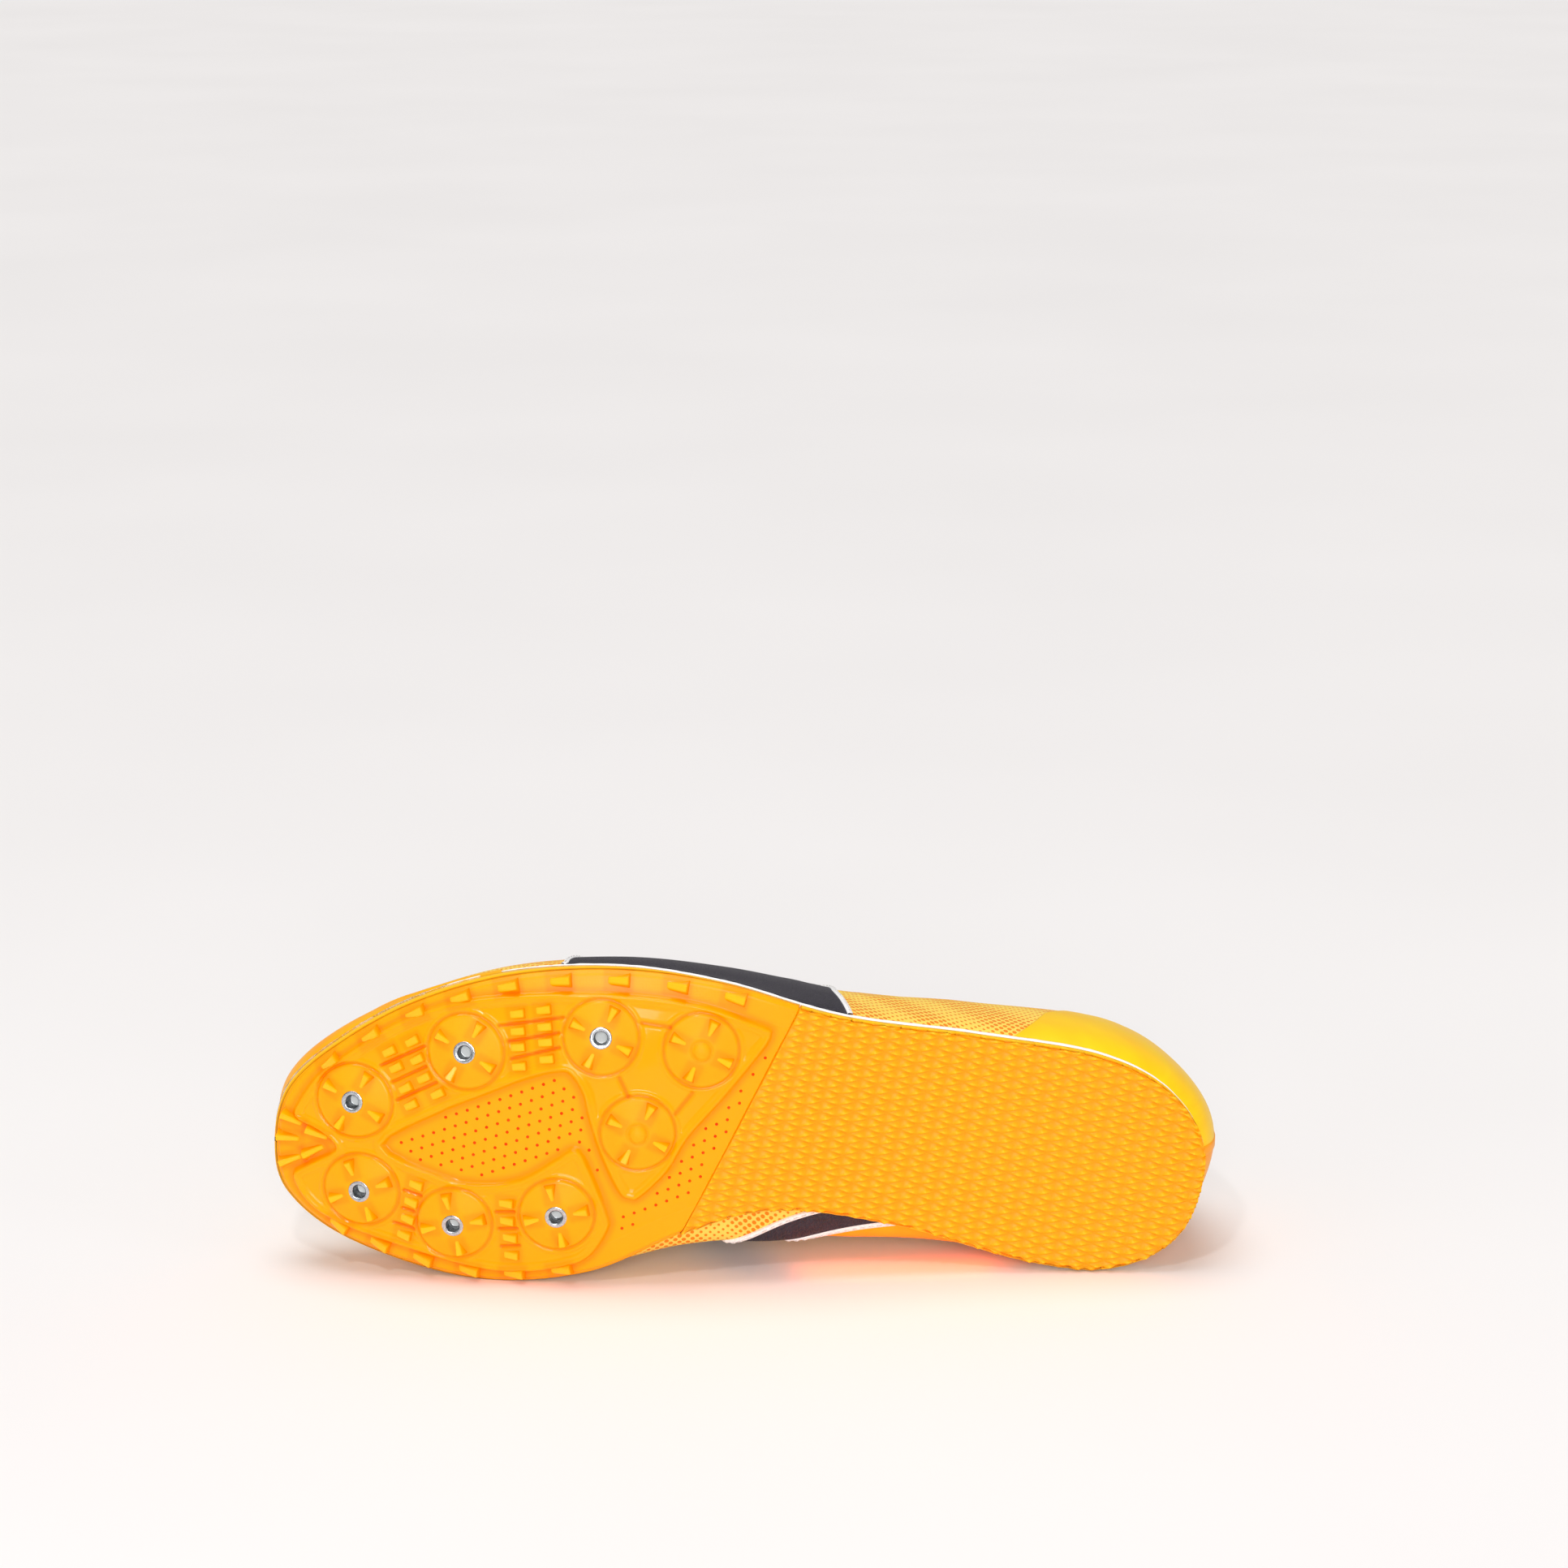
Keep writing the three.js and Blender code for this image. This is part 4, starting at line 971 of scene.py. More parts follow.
def stud_places(looks):
    """Cleats, lugs and toe claws: place, direction, ground level and form of each."""
    lug, cleat = looks.lug_height * 1000, looks.cleat_height * 1000
    pad_form, row_form = stud(*PAD_CLEAT), stud(*ROW_CLEAT, cleat, ROW_CREST)
    lug_form, claw_form = stud(*EDGE_LUG, lug, LUG_CREST), stud(*TOE_CLAW, lug, CLAW_CREST)
    places = []
    for share, across, turn, _ in PADS:
        for k in range(4):
            angle = math.radians(90 * k - turn)
            x = share * LENGTH + CLEAT_CIRCLE * math.cos(angle)
            y = across * BALL_WIDTH + CLEAT_CIRCLE * math.sin(angle)
            places.append((x, y, 90 * k - turn, CLEAT_GROUND, pad_form))
    for turn, group in CLEAT_GROUPS:
        places += [(x, y, 180 - turn, LOBE_RAISE - FIELD_LEVEL - 0.4, row_form) for x, y in group]
    for side, shares in zip(("lateral", "medial"), EDGE_LUGS):
        for share in shares:
            row = edge_row(side, share)
            x, y = sole_edge(row, LUG_INSET - LUG_SINK)
            back = -0.05 if side == "lateral" else 0.05
            behind = sole_edge(row + back, LUG_INSET - LUG_SINK) - (x, y)
            places.append((x, y, math.degrees(math.atan2(behind[1], behind[0])), -FIELD_LEVEL, lug_form))
    places += [
        (share * LENGTH, across * BALL_WIDTH, -turn, -FIELD_LEVEL, claw_form)
        for share, across, turn in TOE_CLAWS
    ]
    return places


def set_studs(name, places, material):
    """Faceted blocks on the sole, each with its place, direction in degrees, ground level and form."""
    points, faces, depth = [], [], []
    for x, y, degrees, ground, (form, sides) in places:
        forward, side, outward, place = sole_frame(x, y)
        turn = math.radians(degrees)
        along = math.cos(turn) * forward - math.sin(turn) * side
        across = np.cross(outward, along)
        start = sum(len(p) for p in points)
        points.append(place + form[:, :1] * along + form[:, 1:2] * across + (form[:, 2:] + ground) * outward)
        faces += [[start + v for v in face] for face in sides]
        # Painted shade at the foot of each block, painted highlight along its crest
        depth.append(np.where(form[:, 2] > 0, 1.0, 0.3))
    depth = np.concatenate(depth)
    piece = make_piece(
        name,
        np.concatenate(points),
        faces,
        material,
        marks={"depth": depth, "matt": np.zeros(len(depth))},
    )
    piece.data.shade_flat()
    return piece


def lip_share(x):
    """Share of the midsole's height that the plate's rim hides, growing towards the toe."""
    return 0.15 + 0.85 * smoothstep(x, 150, 232)


def close_sole(plan, bottom, top_level):
    """Points and faces of a grid of bottom points with a side wall up to plan's outline, and a cover."""
    count, columns = plan.shape[:2]
    outline = plan[:, (0, -1)]
    inward = plan[:, columns // 2, None] - outline
    inward /= np.maximum(np.linalg.norm(inward, axis=-1, keepdims=True), 1)
    top = sole_level(outline[..., 0], outline[..., 1]) + top_level
    low = bottom[:, (0, -1), 2] + 0.4
    rings = [(outline, low), (outline, top - 0.25), (outline + 0.45 * inward, top)]
    rings = np.stack([np.concatenate([flat, level[..., None]], -1) for flat, level in rings], 2)
    start = count * columns

    def at(i, side, ring):
        return i * columns + side * (columns - 1) if ring < 0 else start + (i * 2 + side) * 3 + ring

    faces = grid_faces(count, columns)[:, ::-1].tolist()
    for i in range(count - 1):
        for ring in (-1, 0, 1):
            faces.append((at(i, 0, ring), at(i, 0, ring + 1), at(i + 1, 0, ring + 1), at(i + 1, 0, ring)))
            faces.append((at(i + 1, 1, ring), at(i + 1, 1, ring + 1), at(i, 1, ring + 1), at(i, 1, ring)))
        faces.append((at(i, 0, 2), at(i, 1, 2), at(i + 1, 1, 2), at(i + 1, 0, 2)))
    for i, order in ((0, -1), (count - 1, 1)):
        around_end = (
            [i * columns + k for k in range(columns)]
            + [at(i, 1, k) for k in (0, 1, 2)]
            + [at(i, 0, k) for k in (2, 1, 0)]
        )
        faces.append(around_end[::order])
    return np.concatenate([bottom.reshape(-1, 3), rings.reshape(-1, 3)]), faces


def cloth_place(points):
    """Millimetres along and around the shoe, for the grain of films and leather."""
    x, aside, z = points[..., 0], points[..., 1] - 4, points[..., 2]
    ridge = np.interp(x, (0, 110, 190, 235, 285), (68, 74, 54, 40, 26))
    return np.stack([x, aside + np.sign(aside) * smoothstep(np.abs(aside), 0, 22) * (ridge - z)], -1)


def unrolled(points):
    """Millimetres along the shoe and around its cross sections, for a closed grid from the sole up."""
    count = len(points)
    stations = np.linspace(points[..., 0].min(), points[..., 0].max(), 400)
    cloth = np.zeros((*points.shape[:2], 2))
    cloth[..., 0] = points[..., 0]
    for sign, part in ((1, np.arange(count // 2 + 1)), (-1, np.arange(count // 2, count) % count)):
        side = points[part]
        order = 1 if sign > 0 else -1
        sections, beyond = [], []
        for k in range(side.shape[1] - 1, -1, -1):
            x, y, z = side[::order, k].T
            x = np.maximum.accumulate(x)
            sections.append(np.stack([np.interp(stations, x, y), np.interp(stations, x, z)], -1))
            beyond.append(stations > x[-1])
        sections, beyond = np.array(sections), np.array(beyond)
        step = np.linalg.norm(np.diff(sections, axis=0), axis=-1) * ~beyond[1:]
        length = np.concatenate([np.abs(sections[:1, :, 0] - 4), step]).cumsum(axis=0)[::-1]
        for k in range(side.shape[1]):
            cloth[part, k, 1] = sign * np.interp(side[:, k, 0], stations, length[k])
    return cloth


def film(name, rows, climbs, lift, material, slot):
    """Thin layer on the upper over a grid of rows and climbs, its border turned down into the mesh."""
    lifts = np.full(rows.shape, lift)
    wide_rows, wide_climbs = np.pad(rows, 1, mode="edge"), np.pad(climbs, 1, mode="edge")
    lifts = np.pad(lifts, 1, constant_values=-0.25)
    points = upper_point(wide_rows, wide_climbs, lifts)
    n, m = wide_rows.shape
    faces = grid_faces(n, m)
    up = np.cross(points[1, 2] - points[1, 1], points[2, 1] - points[1, 1]) @ upper_normal(
        rows[0, 0], climbs[0, 0]
    )
    if up > 0:
        faces = faces[:, ::-1]
    return make_piece(name, points, faces, material, cloth=cloth_place(points))


class ShoeLooks(bpy.types.PropertyGroup):
    """Sizes and colours of the looks"""

    tooth_height: FloatProperty(
        name="Tooth height", description="Height of the tread's teeth", default=0.0012, unit="LENGTH"
    )
    lug_height: FloatProperty(
        name="Lug height",
        description="Height of the lugs along the plate's edge",
        default=0.003,
        unit="LENGTH",
    )
    cleat_height: FloatProperty(
        name="Cleat height",
        description="Height of the cleats between the pads",
        default=0.0017,
        unit="LENGTH",
    )
    mesh_pitch: FloatProperty(
        name="Mesh pitch", description="Distance between the upper's holes", default=0.0019, unit="LENGTH"
    )
    film_lift: FloatProperty(
        name="Film thickness",
        description="Thickness of the films on the upper",
        default=0.00045,
        unit="LENGTH",
    )
    lace_width: FloatProperty(
        name="Lace width", description="Width of the flat lace", default=0.0062, unit="LENGTH"
    )
    padding: FloatProperty(
        name="Collar padding",
        description="How far the collar's foam stands in",
        default=0.0042,
        unit="LENGTH",
    )
    plate_colour: FloatVectorProperty(
        name="Plate",
        description="Colour of the spike plate",
        default=hex_colour("#FFA600"),
        subtype="COLOR",
        min=0,
        max=1,
    )
    mesh_colour: FloatVectorProperty(
        name="Mesh",
        description="Colour of the mesh threads",
        default=hex_colour("#FFE270"),
        subtype="COLOR",
        min=0,
        max=1,
    )
    panel_colour: FloatVectorProperty(
        name="Side panels",
        description="Colour of the side panels",
        default=hex_colour("#2B2632"),
        subtype="COLOR",
        min=0,
        max=1,
    )


# The photograph's camera in the shoe's frame: rows are its right, up and back directions
CAMERA_TURN = np.array([[-0.9961, 0.0079, -0.0878], [-0.0116, 0.9756, 0.2192], [0.0874, 0.2193, -0.9717]])
CAMERA_SHIFT = np.array([-12.4, -115.29, -1286.71])
CAMERA_LENS = 96.894
# Floor and strip light in metres
FLOOR_SIZE, STRIP_WIDTH = 40, 0.016
WORLD_STRENGTH = 0.38
MIDDLE = np.array([LENGTH / 2, 0, 0])


class TRACKSPIKE_OT_stage(bpy.types.Operator):
    """Make the camera, the pale floor and the soft studio light"""

    bl_idname = "trackspike.stage"
    bl_label = "Stage"

    def execute(self, context):
        scene = context.scene
        # The saturated yellow comes out pale in the default view
        scene.view_settings.view_transform = "Standard"
        u, _, vt = np.linalg.svd(CAMERA_TURN)
        turn = u @ vt
        place = to_row(-turn.T @ CAMERA_SHIFT + MIDDLE)[0]
        axes = TURN @ turn.T
        camera = bpy.data.objects.new("camera", bpy.data.cameras.new("camera"))
        camera.data.sensor_width = 36
        camera.data.lens = CAMERA_LENS
        camera.data.clip_start, camera.data.clip_end = 0.05, 50
        matrix = Matrix.Identity(4)
        for i in range(3):
            for j in range(3):
                matrix[i][j] = axes[i][j]
            matrix[i][3] = place[i]
        camera.matrix_world = matrix
        scene.collection.objects.link(camera)
        scene.camera = camera

        bpy.ops.mesh.primitive_plane_add(size=FLOOR_SIZE, location=(0, 0, 0))
        floor = context.object
        floor.name = "floor"
        floor.data.materials.append(paper_backdrop())

        world = bpy.data.worlds.new("studio")
        scene.world = world
        world.use_nodes = True
        background = world.node_tree.nodes["Background"]
        background.inputs["Color"].default_value = (1.0, 0.99, 0.985, 1)
        background.inputs["Strength"].default_value = WORLD_STRENGTH
        ahead, white, warm = (0.0, 0.0, 0.05), (1, 1, 1), hex_colour("#FF5A0A")
        for name, kind, spot, aim, size, power, colour in (
            ("key_scrim", "SUN", (-0.12, 0.06, 1.0), ahead, math.radians(40), 1.4, white),
            ("fill_scrim", "SUN", place, ahead, math.radians(25), 1.4, white),
            ("softbox_top", "AREA", (-0.25, -0.75, 0.95), ahead, 0.08, 1.8, white),
            ("softbox_left", "AREA", (-0.95, -0.75, 0.55), ahead, 0.45, 0.4, white),
            ("softbox_right", "AREA", (0.95, -0.70, 0.50), ahead, 0.45, 0.7, white),
            ("bounce_at_arch", "AREA", (0.045, -0.036, 0.004), (0.045, -0.036, 0), 0.06, 0.004, warm),
            ("bounce_at_sole", "AREA", (0.0, -0.057, 0.022), (0.0, -0.057, 0), 0.24, 0.006, warm),
        ):
            light = bpy.data.objects.new(name, bpy.data.lights.new(name, kind))
            setattr(light.data, "angle" if kind == "SUN" else "size", size)
            light.data.energy, light.data.color = power, colour
            light.location = spot
            light.rotation_euler = (Vector(aim) - light.location).to_track_quat("-Z", "Y").to_euler()
            if name.startswith("bounce"):
                # Light thrown down by the bright sole, out of a narrow strip
                light.data.shape, light.data.size_y = "RECTANGLE", STRIP_WIDTH
                light.rotation_euler = (0, 0, 0)
            scene.collection.objects.link(light)
        return {"FINISHED"}


class TRACKSPIKE_OT_outsole(bpy.types.Operator):
    """Make the spike plate with its pads, lugs and pin holes, and the heel tread"""

    bl_idname = "trackspike.outsole"
    bl_label = "Outsole"

    def execute(self, context):
        looks = context.scene.track_spike
        fine = 1
        blunt = 0.04
        plastic = moulded_tpu(looks)
        join = [
            edge_row("lateral", JOIN_LATERAL + GAP / 2 / LENGTH),
            edge_row("medial", JOIN_MEDIAL + GAP / 2 / LENGTH),
        ]
        rows, columns = (n // fine for n in PLATE_GRID)
        plan = ruled_plan(join, (TOE_ROW - blunt, TOE_ROW + blunt), rows, columns, -RIM_PROUD)
        height, matt, depth = plate_relief(plan[..., 0], plan[..., 1], looks)
        bottom = outward_points(plan[..., 0], plan[..., 1], height)
        lip = MIDSOLE_THICKNESS * lip_share(plan[:, (0, -1), 0])
        points, faces = close_sole(plan, bottom, FIELD_LEVEL + PLATE_THICKNESS + lip)
        spare = len(points) - rows * columns
        # The plate's wall and cover take the lightest colour of the painted shade ramp, a painted highlight
        marks = {
            "matt": np.append(matt.ravel(), np.zeros(spare)),
            "depth": np.append(depth.ravel(), np.ones(spare)),
        }
        make_piece("plate", points, faces, plastic, ("spike_plate",), marks=marks)

        join = [
            edge_row("lateral", JOIN_LATERAL - GAP / 2 / LENGTH),
            edge_row("medial", JOIN_MEDIAL - GAP / 2 / LENGTH),
        ]
        rows, columns = (n // fine for n in TREAD_GRID)
        plan = ruled_plan((blunt, HEEL_ROW - blunt), join, rows, columns, -RIM_PROUD)
        x, y = plan[..., 0], plan[..., 1]
        rim = rim_distance(x, y)
        teeth = tread_relief(x, y)
        height = -FIELD_LEVEL + looks.tooth_height * 1000 * teeth - 0.5 * (1 - np.clip(rim, 0, 1)) ** 2
        bottom = outward_points(x, y, height)
        # The border cuts through the teeth, which leaves it jagged
        inward = plan[:, columns // 2, None] - plan
        inward /= np.maximum(np.linalg.norm(inward, axis=-1, keepdims=True), 1)
        bottom[..., :2] += inward * (0.9 * (1 - teeth) * np.clip(1 - rim / 1.2, 0, 1))[..., None]
        points, faces = close_sole(plan, bottom, FIELD_LEVEL + PLATE_THICKNESS)
        # Tooth heights drive the tread's painted shade and highlight
        depth = np.append(teeth.ravel(), np.ones(len(points) - rows * columns))
        make_piece("tread", points, faces, moulded_rubber(), ("heel_tread",), marks={"depth": depth})
        self.pin_holes()
        set_studs("studs", stud_places(looks), plastic)
        return {"FINISHED"}

    def pin_holes(self):
        """Small red-orange discs at the plate's pin holes, painted shade in place of their recesses."""
        i, j = np.meshgrid(np.arange(-60, 61), np.arange(-60, 61), indexing="ij")
        x = HOLE_START[0] + i * HOLE_STEP_A[0] + j * HOLE_STEP_B[0]
        y = HOLE_START[1] + i * HOLE_STEP_A[1] + j * HOLE_STEP_B[1]
        x, y = x.ravel(), y.ravel()
        keep = (x > 120) & (x < 262) & (np.abs(y) < 60)
        x, y = x[keep], y[keep]
        outside = -lobe_distance(x, y)
        rim = rim_distance(x, y)
        seam_far, seam_near = np.array([JOIN_LATERAL * LENGTH, 47.6]), np.array([JOIN_MEDIAL * LENGTH, -23.4])
        run = seam_near - seam_far
        beyond = ((x - seam_far[0]) * -run[1] + (y - seam_far[1]) * run[0]) / np.linalg.norm(run)
        window = (x > 180) & (y > -8) & (y < 32)
        strip = (beyond > 2.4) & (beyond < 19) & (y > -22) & (y < 36)
        keep = (outside > 1.9) & (rim > 9) & (window | strip)
        x, y = x[keep], y[keep]
        sides = 14
        turn = full_turn(sides)
        ring_x = x[:, None] + HOLE_RADIUS * np.cos(turn)
        ring_y = y[:, None] + HOLE_RADIUS * np.sin(turn)
        top = outward_points(ring_x, ring_y, np.full(ring_x.shape, -FIELD_LEVEL + 0.04))
        low = outward_points(ring_x, ring_y, np.full(ring_x.shape, -FIELD_LEVEL - 0.3))
        points = np.concatenate([top.reshape(-1, 3), low.reshape(-1, 3)])
        faces = []
        for k in range(len(x)):
            a, b = k * sides, (len(x) + k) * sides
            faces.append([a + s for s in range(sides)][::-1])
            faces.append([b + s for s in range(sides)])
            faces += [(a + s, a + (s + 1) % sides, b + (s + 1) % sides, b + s) for s in range(sides)]
        make_piece("pin_holes", points, faces, pin_hole_painted_shade())


# Outside of a socket as (radius, height), up to where its thread starts
SOCKET_PROFILE = (
    (0.0, -2.1), (2.7, -2.1), (2.9, 2.55), (3.3, 2.6), (3.4, 2.72), (3.4, 2.88),
    (3.28, 3.0), (2.95, 3.02), (2.42, 3.0), (2.3, 2.94), (BORE_RADIUS + 0.1, 2.72),
)
THREAD_PITCH, THREAD_DEPTH, THREAD_TOP = 0.8, 0.24, 2.6


class TRACKSPIKE_OT_sockets(bpy.types.Operator):
    """Make the six threaded metal sockets"""

    bl_idname = "trackspike.sockets"
    bl_label = "Sockets"

    def execute(self, context):
        steel, grey, oiled = turned_steel(), blasted_steel_painted_bright(), oiled_thread()
        steps = 64
        profile = [*SOCKET_PROFILE]
        for k in range(9):
            profile.append(
                (BORE_RADIUS + (THREAD_DEPTH if k % 2 else 0.0), THREAD_TOP - k * THREAD_PITCH / 2)
            )
        floor = SOCKET_TOP - BORE_DEPTH
        profile += [(BORE_RADIUS, floor + 0.05), (BORE_RADIUS - 0.15, floor), (0.0, floor)]
        turn = full_turn(steps)
        sockets = [pad for pad in PADS if pad[3]]
        for i, (share, across, _, _) in enumerate(sockets):
            forward, side, outward, place = sole_frame(share * LENGTH, across * BALL_WIDTH)
            points = np.array([
                place + r * (math.cos(a) * forward + math.sin(a) * side) + h * outward
                for a in turn
                for r, h in profile
            ])
            faces = grid_faces(steps, len(profile), close_rows=True)
            piece = make_piece(
                f"socket_{i + 1}", points, faces[:, ::-1], steel, (f"spike_socket_{i + 1}",)
            )
            piece.data.materials.append(grey)
            piece.data.materials.append(oiled)
            flags = np.zeros((steps, len(profile) - 1), np.int32)
            flags[:, len(SOCKET_PROFILE) - 1 : -2] = 2
            flags[:, -1] = 1
            piece.data.polygons.foreach_set("material_index", flags.ravel())
        return {"FINISHED"}


class TRACKSPIKE_OT_midsole(bpy.types.Operator):
    """Make the thin white midsole"""

    bl_idname = "trackspike.midsole"
    bl_label = "Midsole"

    def execute(self, context):
        count = 640
        rows = shell_rows(count)
        rng = np.random.default_rng(7)
        fuzz = np.convolve(np.tile(rng.normal(0, 1, count), 3), [0.25, 0.5, 0.25], "same")[count : 2 * count]
        rings = []
        hidden = lip_share(LENGTH * around(ALONG, rows))
        for share, proud in (
            (0.0, -0.6), (0.02, -0.5), (0.12, 0.1), (0.35, 0.36), (0.65, 0.4), (0.88, 0.22), (1.0, -0.15)
        ):
            edge = sole_edge(rows, -(proud + 0.09 * fuzz * share))
            high = share if share == 0 else hidden + (1 - hidden) * share
            up = (
                sole_level(edge[:, 0], edge[:, 1])
                + MIDSOLE_LEVEL
                + MIDSOLE_THICKNESS * high
                + 0.1 * fuzz * (share == 1)
            )
            rings.append(np.concatenate([edge, up[:, None]], 1))
        points = np.stack(rings, 1)
        per = len(rings)
        faces = grid_faces(count, per, close_rows=True)[:, ::-1].tolist()
        for k in range(count // 2):
            a, b = k, k + 1
            c, d = (count - k - 1) % count, (count - k) % count
            if len({a, b, c, d}) == 4:
                faces.append((a * per, b * per, c * per, d * per))
                faces.append((d * per + per - 1, c * per + per - 1, b * per + per - 1, a * per + per - 1))
            else:
                corners = list(dict.fromkeys((a, b, c, d)))
                if len(corners) == 3:
                    faces.append([v * per for v in corners])
                    faces.append([v * per + per - 1 for v in corners[::-1]])
        make_piece("foam_midsole", points, faces, skived_foam(), ("midsole",))
        return {"FINISHED"}


def shell_rows(count):
    """Closed loop of row numbers, evenly spaced along the sole's edge."""
    lateral, medial = even_rows(0, TOE_ROW, count // 2 + 1), even_rows(TOE_ROW, HEEL_ROW, count // 2 + 1)
    return np.concatenate([lateral[:-1], medial[:-1]])


def surface_line(stops, count):
    """Smooth line on the upper through (row, climb) stops: its points, sides and normals."""
    stops = np.array(stops, float)
    t = np.linspace(0, len(stops) - 1, count)
    row, climb = along_table(stops[:, 0], t), np.clip(along_table(stops[:, 1], t), 0, 1)
    points, normals = upper_point(row % HEEL_ROW, climb), upper_normal(row % HEEL_ROW, climb)
    side = np.cross(normals, unit(np.gradient(points, axis=0)))
    return points, unit(side), normals


def ribbon(name, stops, width, lift, material, count=120):
    """Narrow strip laid along a line on the upper, thin at its two borders."""
    points, side, normals = surface_line(stops, count)
    section = (
        (-0.5, -0.3),
        (-0.5, 0.55),
        (-0.4, 0.95),
        (-0.15, 1.0),
        (0.15, 1.0),
        (0.4, 0.95),
        (0.5, 0.55),
        (0.5, -0.3),
    )
    rings = [points + side * (a * width) + normals * (h * lift) for a, h in section]
    places = np.stack(rings, 1)
    run = run_along(points)
    cloth = np.stack(np.broadcast_arrays(run[:, None], width * np.array([a for a, _ in section])[None]), -1)
    return make_piece(name, places, grid_faces(count, len(section))[:, ::-1], material, cloth=cloth)


def stitches(name, lines, offset, lift, material, length=2.2, pitch=3.0, thick=0.28):
    """Rows of sewn stitches, each a small bead of thread whose ends dive into the cloth."""
    points, faces = [], []
    turn = full_turn(6)
    for stops in lines:
        place, side, normals = surface_line(stops, 400)
        place = place + side * offset
        run = run_along(place)
        for start in np.arange(0.5, run[-1] - length, pitch):
            first = len(points)
            for share, size, high in (
                (0.0, 0.3, -0.9), (0.12, 0.8, 0.3), (0.5, 1.0, 0.75), (0.88, 0.8, 0.3), (1.0, 0.3, -0.9)
            ):
                at = start + share * length
                centre, out, across = (
                    np.array([np.interp(at, run, line[:, k]) for k in range(3)])
                    for line in (place, normals, side)
                )
                centre = centre + out * (lift + high * thick)
                points += [centre + thick * size * (math.cos(a) * across + math.sin(a) * out) for a in turn]
            faces += grid_faces(5, 6, close_columns=True, start=first)[:, ::-1].tolist()
    points = np.array(points)
    return make_piece(name, points, faces, material, cloth=points[:, :2])


class TRACKSPIKE_OT_upper(bpy.types.Operator):
    """Make the mesh upper, a thin shell with creases and a rounded rim"""

    bl_idname = "trackspike.upper"
    bl_label = "Upper"

    def execute(self, context):
        looks = context.scene.track_spike
        fine = 1
        rows = shell_rows(440 // fine)
        climbs = np.concatenate([np.linspace(0, WIDEST_AT, 14)[:-1], np.linspace(WIDEST_AT, 1, 48)])
        row, climb = np.meshgrid(rows, climbs, indexing="ij")
        outer = upper_point(row, climb)
        inner_climbs = np.linspace(1, 0, 20)
        row, climb = np.meshgrid(rows, inner_climbs, indexing="ij")
        inward = -upper_normal(row, climb)
        inward[:, -1, 2] = 0
        inner = upper_point(row, climb) + unit(inward) * UPPER_WALL
        middle = (outer[:, -1] + inner[:, 0]) / 2
        across = outer[:, -1] - middle
        rise = outer[:, -1] - outer[:, -2]
        rise *= (UPPER_WALL / 2) / np.linalg.norm(rise, axis=-1, keepdims=True)
        angles = np.radians([30, 60, 90, 120, 150])
        rim = np.stack([middle + across * math.cos(a) + rise * math.sin(a) for a in angles], 1)
        points = np.concatenate([outer, rim, inner], 1)
        faces = grid_faces(*points.shape[:2], close_rows=True, close_columns=True)[:, ::-1]
        outside, lining = unrolled(outer), unrolled(inner[:, ::-1])[:, ::-1]
        cloth = np.concatenate([outside, np.repeat(outside[:, -1:], rim.shape[1], axis=1), lining], 1)
        piece = make_piece(
            "upper_shell", points, faces, knitted_mesh(looks), ("upper",), cloth=cloth
        )
        piece.data.materials.append(brushed_lining("polyester_tricot_brushed_inside", "#FFDC96", "#F0C06A"))
        flags = np.zeros(points.shape[:2], np.int32)
        flags[:, outer.shape[1] + 2 : -1] = 1
        piece.data.polygons.foreach_set("material_index", flags.ravel())
        return {"FINISHED"}


REAR_EDGING, FRONT_EDGING = 1.9, 1.6
# Borders of the side panels, as (row, climb) stops from the sole up to the eyestay
PANEL_BORDERS = {
    "lateral": (
        ((3.98, 0.0), (4.04, 0.30), (4.18, 0.58), (4.80, 0.84)),
        ((6.50, 0.0), (6.47, 0.28), (6.42, 0.55), (6.75, 0.82)),
    ),
    "medial": (
        ((18.12, 0.0), (17.40, 0.20), (16.75, 0.52), (16.30, 0.84)),
        ((17.50, 0.0), (16.60, 0.20), (15.95, 0.53), (15.15, 0.82)),
    ),
}


def between(first, second, n, m):
    """Grid of rows and climbs between two smooth border lines."""
    t = np.linspace(0, 1, m)
    lines = []
    for stops in (first, second):
        stops = np.array(stops, float)
        at = t * (len(stops) - 1)
        lines.append(
            np.stack([along_table(stops[:, 0], at), np.clip(along_table(stops[:, 1], at), 0, 1)], -1)
        )
    s = np.linspace(0, 1, n)[:, None, None]
    grid = lines[0][None] * (1 - s) + lines[1][None] * s
    return grid[..., 0], grid[..., 1]


